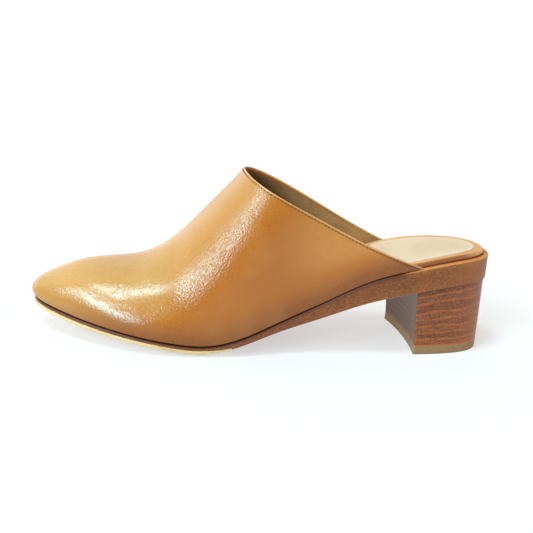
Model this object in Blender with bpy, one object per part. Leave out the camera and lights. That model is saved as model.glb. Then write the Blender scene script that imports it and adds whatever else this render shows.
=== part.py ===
"""A woman's heeled mule for the left foot: closed almond toe, open back, stacked block heel.

The shoe stands on the ground plane Z = 0. Its length runs along X with the toe towards -X,
the little-toe side faces -Y and the big-toe side +Y. Lengths below are millimetres, and the
objects are built in metres. A station is a distance measured forward from the heel back.
"""

import math
from typing import Callable, NamedTuple

import bmesh
import bpy
import numpy as np

MM = 0.001
COLLECTION = "heeled_mule"

# Driving sizes of the last and of the pieces built round it.
LAST_LENGTH = 250.5
BALL_WIDTH = 76.0
INSTEP_HEIGHT = 98.0
SEAT_HEIGHT = 55.7
HEEL_REST_STATION = 22.0
GAP = 0.3
WALL = 1.8
FLANGE = 0.5

# The walls swell a little over the feather line, and the nose of the toe swells most.
BULGE_RISE = 6.0
NOSE_BULGE = 2.9
NOSE_REACH = 16.7

# The topline falls from its peak on the instep to the waist on each side.
PEAK_STATION = 143.0
LATERAL_END_STATION = 45.5
MEDIAL_END_STATION = 51.9
LATERAL_BOW = -2.45
MEDIAL_BOW = 1.35
LATERAL_SWAY = 0.5
MEDIAL_SWAY = 1.3
WING_END_HEIGHT = 0.8
RIBS_EACH_SIDE = 34
RIB_STEPS = 22

# The insole board and the sock laid on it.
INSOLE_INSET = 2.4
INSOLE_THICKNESS = 2.2
INSOLE_ROUNDING = 0.9
SOCK_INSET = 7.8
SOCK_THICKNESS = 0.8
SOCK_ROUNDING = 0.3

# The sole's thick edge leans back a little round the heel.
REAR_LEAN = 0.6
REAR_LEAN_REACH = 40.0

# The outsole runs from the toe to the waist and thins to its rear edge. Its underside is crowned.
OUTSOLE_THICKNESS = 2.0
OUTSOLE_CROWN = 2.6
OUTSOLE_REAR_STATION = 147.0
OUTSOLE_REAR_THICKNESS = 0.8
OUTSOLE_TAPER = 13.0
OUTSOLE_STRIPS = 12

# The block heel, with its front face hollowed and leaning a little forward. Its big-toe corner stands further forward.
HEEL_INSET = 0.6
HEEL_BREAST_STATION = 46.5
HEEL_FOOT_BREAST_STATION = 43.5
HEEL_BACK_STATION = -0.15
HEEL_FOOT_BACK_STATION = -0.9
HEEL_FOOT_WIDTH_SHARE = 0.965
HEEL_FOOT_FULLNESS = 0.83
HEEL_BREAST_SKEW = 1.1
HEEL_BREAST_HOLLOW = 2.5
TOP_PIECE_THICKNESS = 5.0

SOLE_STATIONS = 40
HEEL_STATIONS = 14
HEEL_STRIPS = 8


class OutlineRow(NamedTuple):
    """Half widths of the plan outline as shares of the ball width, and the bend of its axis in mm."""

    along: float
    lateral: float
    medial: float
    axis: float


OUTLINE = (
    OutlineRow(0.00, 0.000, 0.000, 0.0),
    OutlineRow(0.02, 0.172, 0.189, 0.0),
    OutlineRow(0.06, 0.268, 0.277, 0.0),
    OutlineRow(0.12, 0.334, 0.343, 0.0),
    OutlineRow(0.20, 0.376, 0.377, 0.0),
    OutlineRow(0.32, 0.391, 0.324, 0.0),
    OutlineRow(0.44, 0.402, 0.325, 0.0),
    OutlineRow(0.56, 0.493, 0.388, 0.0),
    OutlineRow(0.66, 0.528, 0.470, 0.0),
    OutlineRow(0.76, 0.520, 0.458, 0.4),
    OutlineRow(0.86, 0.434, 0.362, 2.2),
    OutlineRow(0.94, 0.286, 0.236, 3.5),
    OutlineRow(0.98, 0.168, 0.142, 4.0),
    OutlineRow(1.00, 0.000, 0.000, 4.0),
)


class SoleRow(NamedTuple):
    """Height of the feather line as a share of the seat height, and the sole's edge under it in mm."""

    along: float
    feather: float
    thickness: float


SOLE = (
    SoleRow(0.00, 0.997, 14.0),
    SoleRow(0.10, 0.967, 13.6),
    SoleRow(0.20, 0.884, 13.2),
    SoleRow(0.30, 0.745, 11.9),
    SoleRow(0.40, 0.500, 8.2),
    SoleRow(0.50, 0.293, 4.8),
    SoleRow(0.57, 0.166, 3.8),
    SoleRow(0.64, 0.098, 3.8),
    SoleRow(0.72, 0.120, 3.7),
    SoleRow(0.84, 0.186, 3.7),
    SoleRow(1.00, 0.278, 3.7),
)


class RidgeRow(NamedTuple):
    """Height of the crest over the feather line, as a share of the instep height."""

    along: float
    height: float


RIDGE = (
    RidgeRow(0.18, 0.766),
    RidgeRow(0.36, 0.943),
    RidgeRow(0.50, 1.000),
    RidgeRow(0.577, 0.832),
    RidgeRow(0.64, 0.667),
    RidgeRow(0.70, 0.481),
    RidgeRow(0.76, 0.350),
    RidgeRow(0.83, 0.286),
    RidgeRow(0.90, 0.236),
    RidgeRow(0.96, 0.148),
    RidgeRow(0.985, 0.093),
    RidgeRow(1.00, 0.000),
)


class SectionRow(NamedTuple):
    """How square each side of a section is, its crest's shift to the big-toe side and its bulge in mm."""

    along: float
    lateral_square: float
    medial_square: float
    crest: float
    bulge: float


SECTIONS = (
    SectionRow(0.18, 2.3, 2.3, 2.0, 0.0),
    SectionRow(0.42, 2.3, 2.4, 2.0, 0.4),
    SectionRow(0.577, 2.7, 2.4, 2.0, 0.9),
    SectionRow(0.70, 2.2, 2.2, 2.0, 1.0),
    SectionRow(0.80, 2.2, 2.2, 2.0, 1.0),
    SectionRow(0.90, 2.2, 2.2, 1.0, 1.0),
    SectionRow(1.00, 2.2, 2.2, 0.0, 1.0),
)


def spline(positions: np.ndarray, values: np.ndarray) -> Callable[[np.ndarray], np.ndarray]:
    """A natural cubic spline through a table's rows.

    Args:
        positions: Increasing positions of the rows.
        values: The value at each row.

    Returns:
        A function from position to value, held constant past the ends.
    """
    gaps = np.diff(positions)
    last = len(positions) - 1
    matrix = np.eye(last + 1)
    right = np.zeros(last + 1)
    for i in range(1, last):
        matrix[i, i - 1 : i + 2] = gaps[i - 1], 2 * (gaps[i - 1] + gaps[i]), gaps[i]
        right[i] = 6 * ((values[i + 1] - values[i]) / gaps[i] - (values[i] - values[i - 1]) / gaps[i - 1])
    bends = np.linalg.solve(matrix, right)

    def at(position: np.ndarray) -> np.ndarray:
        """The spline's value at each position."""
        x = np.clip(position, positions[0], positions[-1])
        i = np.clip(np.searchsorted(positions, x) - 1, 0, last - 1)
        gap = gaps[i]
        before = (positions[i + 1] - x) / gap
        after = (x - positions[i]) / gap
        straight = before * values[i] + after * values[i + 1]
        bend = (before**3 - before) * bends[i] + (after**3 - after) * bends[i + 1]
        return straight + bend * gap**2 / 6

    return at


def turn(along: np.ndarray) -> np.ndarray:
    """Share of a half turn round the outline, which spreads stations towards its round ends."""
    return np.arccos(np.clip(1 - 2 * np.asarray(along, float), -1, 1)) / math.pi


def column(rows: tuple, name: str, scale: float = 1.0) -> np.ndarray:
    """One named column of a table, times a size."""
    return scale * np.array([getattr(row, name) for row in rows])


lateral_half = spline(turn(column(OUTLINE, "along")), column(OUTLINE, "lateral", BALL_WIDTH))
medial_half = spline(turn(column(OUTLINE, "along")), column(OUTLINE, "medial", BALL_WIDTH))
axis_bend = spline(column(OUTLINE, "along"), column(OUTLINE, "axis"))
feather_height = spline(column(SOLE, "along"), column(SOLE, "feather", SEAT_HEIGHT))
sole_thickness = spline(column(SOLE, "along"), column(SOLE, "thickness"))
ridge_height = spline(turn(column(RIDGE, "along")), column(RIDGE, "height", INSTEP_HEIGHT))
lateral_square = spline(column(SECTIONS, "along"), column(SECTIONS, "lateral_square"))
medial_square = spline(column(SECTIONS, "along"), column(SECTIONS, "medial_square"))
crest_offset = spline(column(SECTIONS, "along"), column(SECTIONS, "crest"))
wall_bulge = spline(column(SECTIONS, "along"), column(SECTIONS, "bulge"))


def feather(station: np.ndarray) -> np.ndarray:
    """Height of the feather line, where upper, insole and sole meet."""
    return feather_height(station / LAST_LENGTH)


def underside(station: np.ndarray) -> np.ndarray:
    """Height of the lower edge of the sole's sides."""
    return feather(station) - sole_thickness(station / LAST_LENGTH)


def outline(station: np.ndarray) -> tuple[np.ndarray, np.ndarray]:
    """Y of the lateral and of the medial edge of the last's plan outline."""
    along = np.clip(station / LAST_LENGTH, 0, 1)
    axis = axis_bend(along)
    return axis - lateral_half(turn(along)), axis + medial_half(turn(along))


def offset_outline(offset: float, count: int) -> tuple[np.ndarray, np.ndarray, np.ndarray]:
    """The outline moved outward, read at stations that crowd towards its round ends.

    Args:
        offset: Distance outward, negative for inward.
        count: Number of steps from end to end.

    Returns:
        The stations, and Y of the lateral and of the medial edge at each.
    """
    fine = LAST_LENGTH * (1 - np.cos(np.linspace(0, math.pi, 1201))) / 2
    low, high = -offset, LAST_LENGTH + offset
    stations = low + (high - low) * (1 - np.cos(np.linspace(0, math.pi, count + 1))) / 2
    edges = []
    for side, edge in zip((-1, 1), outline(fine)):
        along, across = np.gradient(fine), np.gradient(edge)
        length = np.hypot(along, across)
        moved = fine - side * offset * across / length
        edges.append(np.interp(stations, moved, edge + side * offset * along / length))
    return stations, edges[0], edges[1]


def last_surface(radius: np.ndarray, angle: np.ndarray) -> np.ndarray:
    """Points on the last, from its polar map centred on the toe tip.

    Args:
        radius: One less the turn of the station, so the toe tip is 0.
        angle: Share of the way over the section, from the lateral to the medial feather line.

    Returns:
        Points as station, Y and Z.
    """
    along = (1 - np.cos((1 - radius) * math.pi)) / 2
    station = along * LAST_LENGTH
    lateral_edge, medial_edge = outline(station)
    fullness = np.minimum(1, (medial_edge - lateral_edge) / BALL_WIDTH)
    crest = axis_bend(along) + crest_offset(along) * fullness
    on_lateral = angle < 0.5
    quarter = np.where(on_lateral, angle, 1 - angle) * math.pi
    power = 2 / np.where(on_lateral, lateral_square(along), medial_square(along))
    edge = np.where(on_lateral, lateral_edge, medial_edge)
    y = crest + (edge - crest) * np.clip(np.cos(quarter), 0, 1) ** power
    rise = ridge_height(1 - radius) * np.clip(np.sin(quarter), 0, 1) ** power
    swell = rise / BULGE_RISE * np.exp(1 - rise / BULGE_RISE)
    y += np.where(on_lateral, -1, 1) * np.cos(quarter) * fullness * wall_bulge(along) * swell
    nose = NOSE_BULGE * swell * np.exp(-(((LAST_LENGTH - station) / NOSE_REACH) ** 2))
    return np.stack([station + nose, y, feather(station) + rise], axis=-1)


def topline_side(end_station: float, bow: float, sway: float, square: Callable, share: np.ndarray) -> np.ndarray:
    """One side of the topline on the polar map.

    Args:
        end_station: Where this side runs out at the feather line.
        bow: Height of the line's middle over the straight line from peak to end.
        sway: Height added near the peak and taken off near the end.
        square: Squareness of this side's sections.
        share: Share of the way from the peak to the end.

    Returns:
        Radius and angle from this side's feather line, in two columns.
    """
    station = PEAK_STATION + (end_station - PEAK_STATION) * share
    peak_height = feather(PEAK_STATION) + ridge_height(turn(PEAK_STATION / LAST_LENGTH))
    end_height = feather(end_station) + WING_END_HEIGHT
    arch = 4 * share * (1 - share)
    height = peak_height + (end_height - peak_height) * share + arch * (bow + 2 * sway * (1 - 2 * share))
    along = station / LAST_LENGTH
    rise = np.clip((height - feather(station)) / ridge_height(turn(along)), 0, 1)
    angle = np.arcsin(rise ** (square(along) / 2)) / math.pi
    return np.stack([1 - turn(along), angle], axis=-1)


def feather_radii(end_station: float, side: int, count: int) -> np.ndarray:
    """Radii of points on one side's feather line, from the waist to the toe tip, closer at the toe."""
    radii = np.linspace(1 - turn(end_station / LAST_LENGTH), 0, 801)
    line = last_surface(radii, np.full_like(radii, 0.0 if side < 0 else 1.0))
    run = np.concatenate([[0], np.cumsum(np.linalg.norm(np.diff(line, axis=0), axis=1))])
    share = 1 - (1 - np.linspace(0, 1, count + 1)) ** 1.5
    return np.interp(run[-1] * share, run, radii)


def side_ribs(side: int) -> np.ndarray:
    """Ribs of one half of the upper, each from the topline down to the feather line.

    Args:
        side: -1 for the lateral half and 1 for the medial half.

    Returns:
        Points as station, Y and Z; the first rib is at the waist and the last runs along the crest.
    """
    end_station = LATERAL_END_STATION if side < 0 else MEDIAL_END_STATION
    bow = LATERAL_BOW if side < 0 else MEDIAL_BOW
    sway = LATERAL_SWAY if side < 0 else MEDIAL_SWAY
    square = lateral_square if side < 0 else medial_square
    share = np.linspace(1, 0, RIBS_EACH_SIDE + 1) ** 2
    radius, angle = topline_side(end_station, bow, sway, square, share).T
    top = np.stack([radius * np.cos(angle * math.pi), radius * np.sin(angle * math.pi)], axis=-1)
    foot = np.stack([feather_radii(end_station, side, RIBS_EACH_SIDE), np.zeros_like(share)], axis=-1)
    fine = np.linspace(0, 1, 201)
    ribs = []
    for start, end in zip(top, foot):
        path = start + (end - start) * fine[:, None]
        polar = np.hypot(path[:, 0], path[:, 1])
        over = np.arctan2(path[:, 1], path[:, 0]) / math.pi
        line = last_surface(polar, over if side < 0 else 1 - over)
        run = np.concatenate([[0], np.cumsum(np.linalg.norm(np.diff(line, axis=0), axis=1))])
        steps = run[-1] * (1 - (1 - np.linspace(0, 1, RIB_STEPS + 1)) ** 1.6)
        ribs.append(np.stack([np.interp(steps, run, line[:, k]) for k in range(3)], axis=-1))
    return np.array(ribs)


def world(points: np.ndarray) -> np.ndarray:
    """Station, Y and Z in millimetres turned to the object's X, Y and Z in metres."""
    placed = np.array(points, float)
    placed[..., 0] = HEEL_REST_STATION - placed[..., 0]
    return placed * MM


def grid_faces(grid: np.ndarray, flip: bool = False) -> list[tuple[int, ...]]:
    """Quads over a grid of vertex numbers."""
    corners = (grid[:-1, :-1], grid[1:, :-1], grid[1:, 1:], grid[:-1, 1:])
    quads = np.stack([corner.ravel() for corner in corners], axis=-1)
    return [tuple(quad) for quad in (quads[:, ::-1] if flip else quads).tolist()]


def close_mesh(mesh: bpy.types.Mesh) -> None:
    """Joins coincident vertices and turns every face outward."""
    joined = bmesh.new()
    joined.from_mesh(mesh)
    bmesh.ops.remove_doubles(joined, verts=joined.verts, dist=1e-6)
    bmesh.ops.recalc_face_normals(joined, faces=joined.faces)
    if joined.calc_volume(signed=True) < 0:
        bmesh.ops.reverse_faces(joined, faces=joined.faces)
    joined.to_mesh(mesh)
    joined.free()


def make_object(name: str, points: np.ndarray, faces: list, material: bpy.types.Material) -> bpy.types.Object:
    """A closed mesh object in the shoe's collection.

    Args:
        name: The piece's name.
        points: Vertices as station, Y and Z in millimetres.
        faces: Vertex numbers of each face, facing outward.
        material: The piece's material.

    Returns:
        The object, with coincident vertices joined.
    """
    mesh = bpy.data.meshes.new(name)
    mesh.from_pydata(world(points).tolist(), [], faces)
    close_mesh(mesh)
    made = bpy.data.objects.new(name, mesh)
    bpy.data.collections[COLLECTION].objects.link(made)
    mesh.materials.append(material)
    mesh.shade_smooth()
    mesh.set_sharp_from_angle(angle=math.radians(35))
    return made


def plate_object(name: str, levels: list[np.ndarray], material: bpy.types.Material) -> bpy.types.Object:
    """A solid plate lofted through levels that share one grid.

    Args:
        name: The piece's name.
        levels: Grids of points, stations by strips, from the bottom up.
        material: The piece's material.

    Returns:
        The closed object.
    """
    rows, strips = levels[0].shape[:2]
    index = np.arange(len(levels) * rows * strips).reshape(len(levels), rows, strips)
    rim = [(i, 0) for i in range(rows)]
    rim += [(rows - 1, j) for j in range(1, strips)]
    rim += [(i, strips - 1) for i in range(rows - 2, -1, -1)]
    rim += [(0, j) for j in range(strips - 2, 0, -1)]
    loops = np.array([[level[i, j] for i, j in rim + rim[:1]] for level in index])
    faces = grid_faces(index[0], flip=True) + grid_faces(index[-1]) + grid_faces(loops)
    used = sorted({vertex for face in faces for vertex in face})
    renumber = {vertex: number for number, vertex in enumerate(used)}
    points = np.concatenate([level.reshape(-1, 3) for level in levels])[used]
    return make_object(name, points, [tuple(renumber[v] for v in face) for face in faces], material)


def sole_level(offset: float, height: Callable, first: float = -math.inf) -> np.ndarray:
    """One level of a plate that follows the outline.

    Args:
        offset: Distance of the level's edge outside the last's outline.
        height: Height of the level at each station.
        first: Station where the plate starts, when it doesn't reach the heel back.

    Returns:
        A grid of points, stations by two strips.
    """
    stations, lateral, medial = offset_outline(offset, 4 * SOLE_STATIONS)
    first = max(first, stations[0])
    share = (1 - np.cos(np.linspace(0, math.pi, SOLE_STATIONS + 1))) / 2
    if first > stations[0]:
        share = np.sin(np.linspace(0, math.pi / 2, SOLE_STATIONS + 1))
    kept = first + (stations[-1] - first) * share
    grid = [np.stack([kept, np.interp(kept, stations, edge), height(kept)], axis=-1) for edge in (lateral, medial)]
    return np.stack(grid, axis=1)


def make_material(name: str, colour: tuple[float, float, float], roughness: float) -> bpy.types.Material:
    """A plain Principled material for one piece."""
    material = bpy.data.materials.new(name)
    material.use_nodes = True
    shader = material.node_tree.nodes["Principled BSDF"]
    shader.inputs["Base Color"].default_value = (*colour, 1.0)
    shader.inputs["Roughness"].default_value = roughness
    return material


def build_upper() -> bpy.types.Object:
    """The hollow upper: one wall, open at the back, at the topline and underneath."""
    lateral, medial = side_ribs(-1), side_ribs(1)
    outer = np.concatenate([lateral, medial[-2::-1]])
    along_ribs = np.gradient(outer, axis=0)
    down_ribs = np.gradient(outer, axis=1)
    normals = np.cross(along_ribs, down_ribs)
    normals /= np.linalg.norm(normals, axis=-1, keepdims=True)
    outward = outer - np.array([PEAK_STATION, 0, 0])
    normals *= np.sign((normals * outward).sum(axis=-1).mean())
    inner = outer - WALL * normals
    inner[:, -1, 2] = feather(inner[:, -1, 0])
    index = np.arange(2 * outer[..., 0].size).reshape(2, *outer.shape[:2])
    faces = grid_faces(index[0]) + grid_faces(index[1], flip=True)
    for edge in (index[:, :, 0], index[:, ::-1, -1], index[:, 0, ::-1], index[:, -1, :]):
        faces += grid_faces(edge)
    points = np.concatenate([outer.reshape(-1, 3), inner.reshape(-1, 3)])
    return make_object("upper", points, faces, make_material("calf_leather", (0.56, 0.26, 0.07), 0.35))


def build_insole() -> bpy.types.Object:
    """The covered insole board, its top edge rounded."""
    top = INSOLE_THICKNESS

    def lip(station: np.ndarray) -> np.ndarray:
        """Height where the rounding starts."""
        return feather(station) + top - INSOLE_ROUNDING

    levels = [
        sole_level(-INSOLE_INSET, feather),
        sole_level(-INSOLE_INSET, lip),
        sole_level(-INSOLE_INSET - INSOLE_ROUNDING, lambda station: feather(station) + top),
    ]
    return plate_object("insole", levels, make_material("insole_cover", (0.60, 0.28, 0.08), 0.4))


def build_sock() -> bpy.types.Object:
    """The soft sock laid on the insole."""
    bottom = INSOLE_THICKNESS + GAP

    def at(rise: float) -> Callable:
        """Height function of a level this far over the sock's underside."""
        return lambda station: feather(station) + bottom + rise

    levels = [
        sole_level(-SOCK_INSET, at(0.0)),
        sole_level(-SOCK_INSET, at(SOCK_THICKNESS - SOCK_ROUNDING)),
        sole_level(-SOCK_INSET - SOCK_ROUNDING, at(SOCK_THICKNESS)),
    ]
    return plate_object("sock", levels, make_material("sock_leather", (0.80, 0.68, 0.44), 0.5))


def outsole_thickness(station: np.ndarray) -> np.ndarray:
    """Thickness of the outsole, thinning to its rear edge."""
    share = np.clip((station - OUTSOLE_REAR_STATION) / OUTSOLE_TAPER, 0, 1)
    return OUTSOLE_REAR_THICKNESS + (OUTSOLE_THICKNESS - OUTSOLE_REAR_THICKNESS) * share


def build_outsole() -> bpy.types.Object:
    """The thin outsole under the forefoot, crowned across and worn flat where it stands."""
    edges = sole_level(FLANGE, underside, OUTSOLE_REAR_STATION)
    across = np.linspace(-1, 1, OUTSOLE_STRIPS + 1)[:, None]
    under = edges[:, None, 0] * (1 - across) / 2 + edges[:, None, 1] * (1 + across) / 2
    station, width = edges[:, 0, 0], edges[:, 1, 1] - edges[:, 0, 1]
    onset = np.clip((station - OUTSOLE_REAR_STATION) / OUTSOLE_TAPER, 0, 1)
    crown = OUTSOLE_CROWN * onset * (width / BALL_WIDTH) ** 2
    top = under.copy()
    top[..., 2] += outsole_thickness(station)[:, None]
    under[..., 2] = np.maximum(under[..., 2] - crown[:, None] * (1 - across[:, 0] ** 2), 0.0)
    return plate_object("outsole", [under, top], make_material("outsole_rubber", (0.70, 0.52, 0.26), 0.6))


def build_midsole() -> bpy.types.Object:
    """The sole board: a thick band from the heel to the waist, thin over the outsole."""
    step = OUTSOLE_REAR_STATION - GAP
    stations, lateral, medial = offset_outline(FLANGE, 4 * SOLE_STATIONS)
    kept = np.sort(np.append(stations[::3], step))
    kept = np.append(kept, stations[-1]) if kept[-1] < stations[-1] else kept
    before = kept[kept <= step]
    after = np.concatenate([[step], kept[kept > step]])

    def band(part: np.ndarray, height: np.ndarray) -> np.ndarray:
        """The grid of one level over some stations."""
        rows = [np.stack([part, np.interp(part, stations, edge), height], axis=-1) for edge in (lateral, medial)]
        return np.stack(rows, axis=1)

    over_outsole = underside(after) + outsole_thickness(after) + GAP
    bottom = np.concatenate([band(before, underside(before)), band(after, over_outsole)])
    bottom[..., 0] -= REAR_LEAN * np.clip(1 - bottom[..., 0] / REAR_LEAN_REACH, 0, 1) ** 2
    whole = np.concatenate([before, after])
    top = band(whole, feather(whole) - GAP)
    return plate_object("midsole", [bottom, top], make_material("sole_leather", (0.30, 0.13, 0.05), 0.5))


def heel_level(back: float, breast: float, width_share: float, fullness: float, height: Callable) -> np.ndarray:
    """One level of the heel: the seat's outline behind a hollowed front face.

    Args:
        back: Station of the level's rearmost point.
        breast: Station of the front face's lateral corner.
        width_share: Width as a share of the seat's.
        fullness: Under 1 squares the back of the outline, and 1 keeps the seat's.
        height: Height of the level at each station.

    Returns:
        A grid of points, stations by strips.
    """
    stations, lateral, medial = offset_outline(FLANGE - HEEL_INSET, 4 * SOLE_STATIONS)
    share = 1 - np.cos(np.linspace(0, math.pi / 2, HEEL_STATIONS + 1))
    seat = stations[0] + (HEEL_BREAST_STATION - stations[0]) * share**fullness
    across = np.linspace(-1, 1, HEEL_STRIPS + 1)
    hollow = HEEL_BREAST_HOLLOW * share[:, None] ** 2 * (1 - across**2)
    corner = breast + HEEL_BREAST_SKEW * (across + 1) / 2
    station = back + (corner - back) * share[:, None] - hollow
    left, right = (np.interp(seat, stations, edge)[:, None] * width_share for edge in (lateral, medial))
    y = left + (right - left) * (across + 1) / 2
    return np.stack([station, y, height(station)], axis=-1)


def build_heel() -> list[bpy.types.Object]:
    """The block heel and the rubber top piece under it."""
    foot = (HEEL_FOOT_BACK_STATION, HEEL_FOOT_BREAST_STATION, HEEL_FOOT_WIDTH_SHARE, HEEL_FOOT_FULLNESS)
    seat = (HEEL_BACK_STATION, HEEL_BREAST_STATION, 1.0, 1.0)
    block = [
        heel_level(*foot, lambda station: np.full_like(station, TOP_PIECE_THICKNESS + GAP)),
        heel_level(*seat, lambda station: underside(station) - GAP),
    ]
    tread = [
        heel_level(*foot, np.zeros_like),
        heel_level(*foot, lambda station: np.full_like(station, TOP_PIECE_THICKNESS)),
    ]
    return [
        plate_object("heel", block, make_material("stacked_leather", (0.26, 0.10, 0.05), 0.4)),
        plate_object("top_piece", tread, make_material("top_piece_rubber", (0.36, 0.26, 0.12), 0.7)),
    ]


def clear_scene() -> None:
    """Removes the startup objects."""
    for old in list(bpy.data.objects):
        bpy.data.objects.remove(old)


def main() -> None:
    """Builds the mule piece by piece."""
    clear_scene()
    bpy.context.scene.collection.children.link(bpy.data.collections.new(COLLECTION))
    build_upper()
    build_insole()
    build_sock()
    build_midsole()
    build_outsole()
    build_heel()


main()
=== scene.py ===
"""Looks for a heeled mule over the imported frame: lined calf upper, stitching, insole, soles, stacked heel.

Lengths are millimetres unless a name says otherwise, and meshes are made in metres. A station is a distance
measured forward from the heel back. The toe points to -X and the little-toe (lateral) side faces -Y.
"""

import logging
import math
from dataclasses import dataclass, field, replace
from enum import Enum
from typing import Any, Callable

import bmesh
import bpy
import numpy as np
from mathutils import Matrix, Vector


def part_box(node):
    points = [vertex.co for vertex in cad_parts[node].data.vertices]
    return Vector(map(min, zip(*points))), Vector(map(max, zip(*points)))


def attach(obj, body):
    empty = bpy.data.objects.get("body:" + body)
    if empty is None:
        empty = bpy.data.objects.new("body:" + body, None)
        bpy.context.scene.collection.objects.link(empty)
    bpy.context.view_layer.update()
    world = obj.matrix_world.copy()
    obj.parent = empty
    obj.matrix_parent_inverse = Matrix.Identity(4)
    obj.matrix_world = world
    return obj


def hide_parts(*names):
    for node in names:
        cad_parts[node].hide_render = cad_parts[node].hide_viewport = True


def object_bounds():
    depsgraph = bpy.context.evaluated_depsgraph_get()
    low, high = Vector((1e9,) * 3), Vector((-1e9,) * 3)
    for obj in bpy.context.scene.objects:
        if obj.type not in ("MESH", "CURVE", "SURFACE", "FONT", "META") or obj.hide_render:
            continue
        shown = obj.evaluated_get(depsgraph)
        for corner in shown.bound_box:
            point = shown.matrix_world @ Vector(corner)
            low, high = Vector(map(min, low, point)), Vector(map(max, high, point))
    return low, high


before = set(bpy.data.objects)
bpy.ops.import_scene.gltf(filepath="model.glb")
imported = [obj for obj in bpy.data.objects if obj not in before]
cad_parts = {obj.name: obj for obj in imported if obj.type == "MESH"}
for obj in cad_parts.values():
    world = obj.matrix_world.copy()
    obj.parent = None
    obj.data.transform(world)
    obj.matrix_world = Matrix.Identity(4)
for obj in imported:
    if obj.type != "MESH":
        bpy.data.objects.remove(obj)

CAD_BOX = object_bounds()
MM = 0.001
BODY = "root"
FLANGE = 0.5  # how far the sole stands outside the last's outline
INSOLE_INSET = 2.4  # how far the insole board stays inside it
SLIVER = 1e-6  # a length too small to matter
TINY = 1e-9  # keeps a division from failing

Curve = Callable[[np.ndarray], np.ndarray]
Span = tuple[float, float]  # where a change begins and where it is full

log = logging.getLogger("heeled_mule")


class Side(Enum):
    """The two sides of the shoe, by the sign of their Y."""

    LATERAL = -1
    MEDIAL = 1


def spline(positions: np.ndarray, values: np.ndarray) -> Curve:
    """A natural cubic spline through a table's rows.

    Args:
        positions: Increasing positions of the rows.
        values: The value at each row.

    Returns:
        A function from position to value, held constant past the ends.
    """
    gaps = np.diff(positions)
    last = len(positions) - 1
    matrix = np.eye(last + 1)
    right = np.zeros(last + 1)
    for i in range(1, last):
        matrix[i, i - 1 : i + 2] = gaps[i - 1], 2 * (gaps[i - 1] + gaps[i]), gaps[i]
        right[i] = 6 * ((values[i + 1] - values[i]) / gaps[i] - (values[i] - values[i - 1]) / gaps[i - 1])
    bends = np.linalg.solve(matrix, right)

    def at(position: np.ndarray) -> np.ndarray:
        """The spline's value at each position.

        Args:
            position: Where to read it.

        Returns:
            The values.
        """
        x = np.clip(position, positions[0], positions[-1])
        i = np.clip(np.searchsorted(positions, x) - 1, 0, last - 1)
        gap = gaps[i]
        before = (positions[i + 1] - x) / gap
        after = (x - positions[i]) / gap
        straight = before * values[i] + after * values[i + 1]
        bend = (before**3 - before) * bends[i] + (after**3 - after) * bends[i + 1]
        return straight + bend * gap**2 / 6

    return at


def turn(along: np.ndarray) -> np.ndarray:
    """Share of a half turn round the outline, which spreads stations towards its round ends."""
    return np.arccos(np.clip(1 - 2 * np.asarray(along, float), -1, 1)) / math.pi


def ease(low: float, high: float, value: np.ndarray) -> np.ndarray:
    """Smooth step from 0 at low to 1 at high, either way round."""
    share = np.clip((value - low) / (high - low), 0, 1)
    return share * share * (3 - 2 * share)


def bump(value: np.ndarray, centre: float, width: float) -> np.ndarray:
    """1 where the value is at the centre, dying out over the width."""
    return np.exp(-(((value - centre) / width) ** 2))


def even_shares(count: int) -> np.ndarray:
    """Shares from 0 to 1 that crowd towards both ends."""
    return (1 - np.cos(np.linspace(0, math.pi, count + 1))) / 2


def quarter_round(radius: float, steps: int) -> list[tuple[float, float]]:
    """How far inward and how far up a rounded corner is at each step, from its foot to its side."""
    turns = np.linspace(0, math.pi / 2, steps)
    return [(radius * (1 - math.sin(turned)), radius * (1 - math.cos(turned))) for turned in turns]


def run_length(line: np.ndarray) -> np.ndarray:
    """Length along a line of points, from 0 at its start."""
    return np.concatenate([[0], np.cumsum(np.linalg.norm(np.diff(line, axis=0), axis=1))])


def read_rows(at: np.ndarray, run: np.ndarray, rows: np.ndarray) -> np.ndarray:
    """A table's rows of three read at places between them, given where each row stands."""
    return np.stack([np.interp(at, run, rows[:, k]) for k in range(3)], axis=-1)


def grid_normals(grid: np.ndarray) -> np.ndarray:
    """Unit normals of a grid of points."""
    across = np.cross(np.gradient(grid, axis=0), np.gradient(grid, axis=1))
    return across / np.maximum(np.linalg.norm(across, axis=-1, keepdims=True), TINY)


@dataclass(frozen=True)
class Waver:
    """A smooth unevenness along a line: its height, the rough length of one swing, and its seed."""

    height: float
    length: float
    seed: int
    waves: int = 6
    slowest: float = 0.6  # swings in its length, of the slowest wave and of the fastest
    fastest: float = 2.3

    def at(self, position: np.ndarray) -> np.ndarray:
        """The rise or fall at each position, between about the height and its negative.

        Args:
            position: Where to read it.

        Returns:
            The rise at each, or the fall where it is negative.
        """
        rng = np.random.default_rng(self.seed)
        rates = rng.uniform(self.slowest, self.fastest, self.waves)
        phases = rng.uniform(0, 2 * math.pi, self.waves)
        swings = np.sin(np.asarray(position)[..., None] * 2 * math.pi * rates / self.length + phases)
        return self.height * (swings.sum(axis=-1) / (self.waves / 2))

    def another(self, number: int) -> "Waver":
        """The same unevenness with other swings, picked by a number."""
        return replace(self, seed=self.seed + number)


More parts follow.
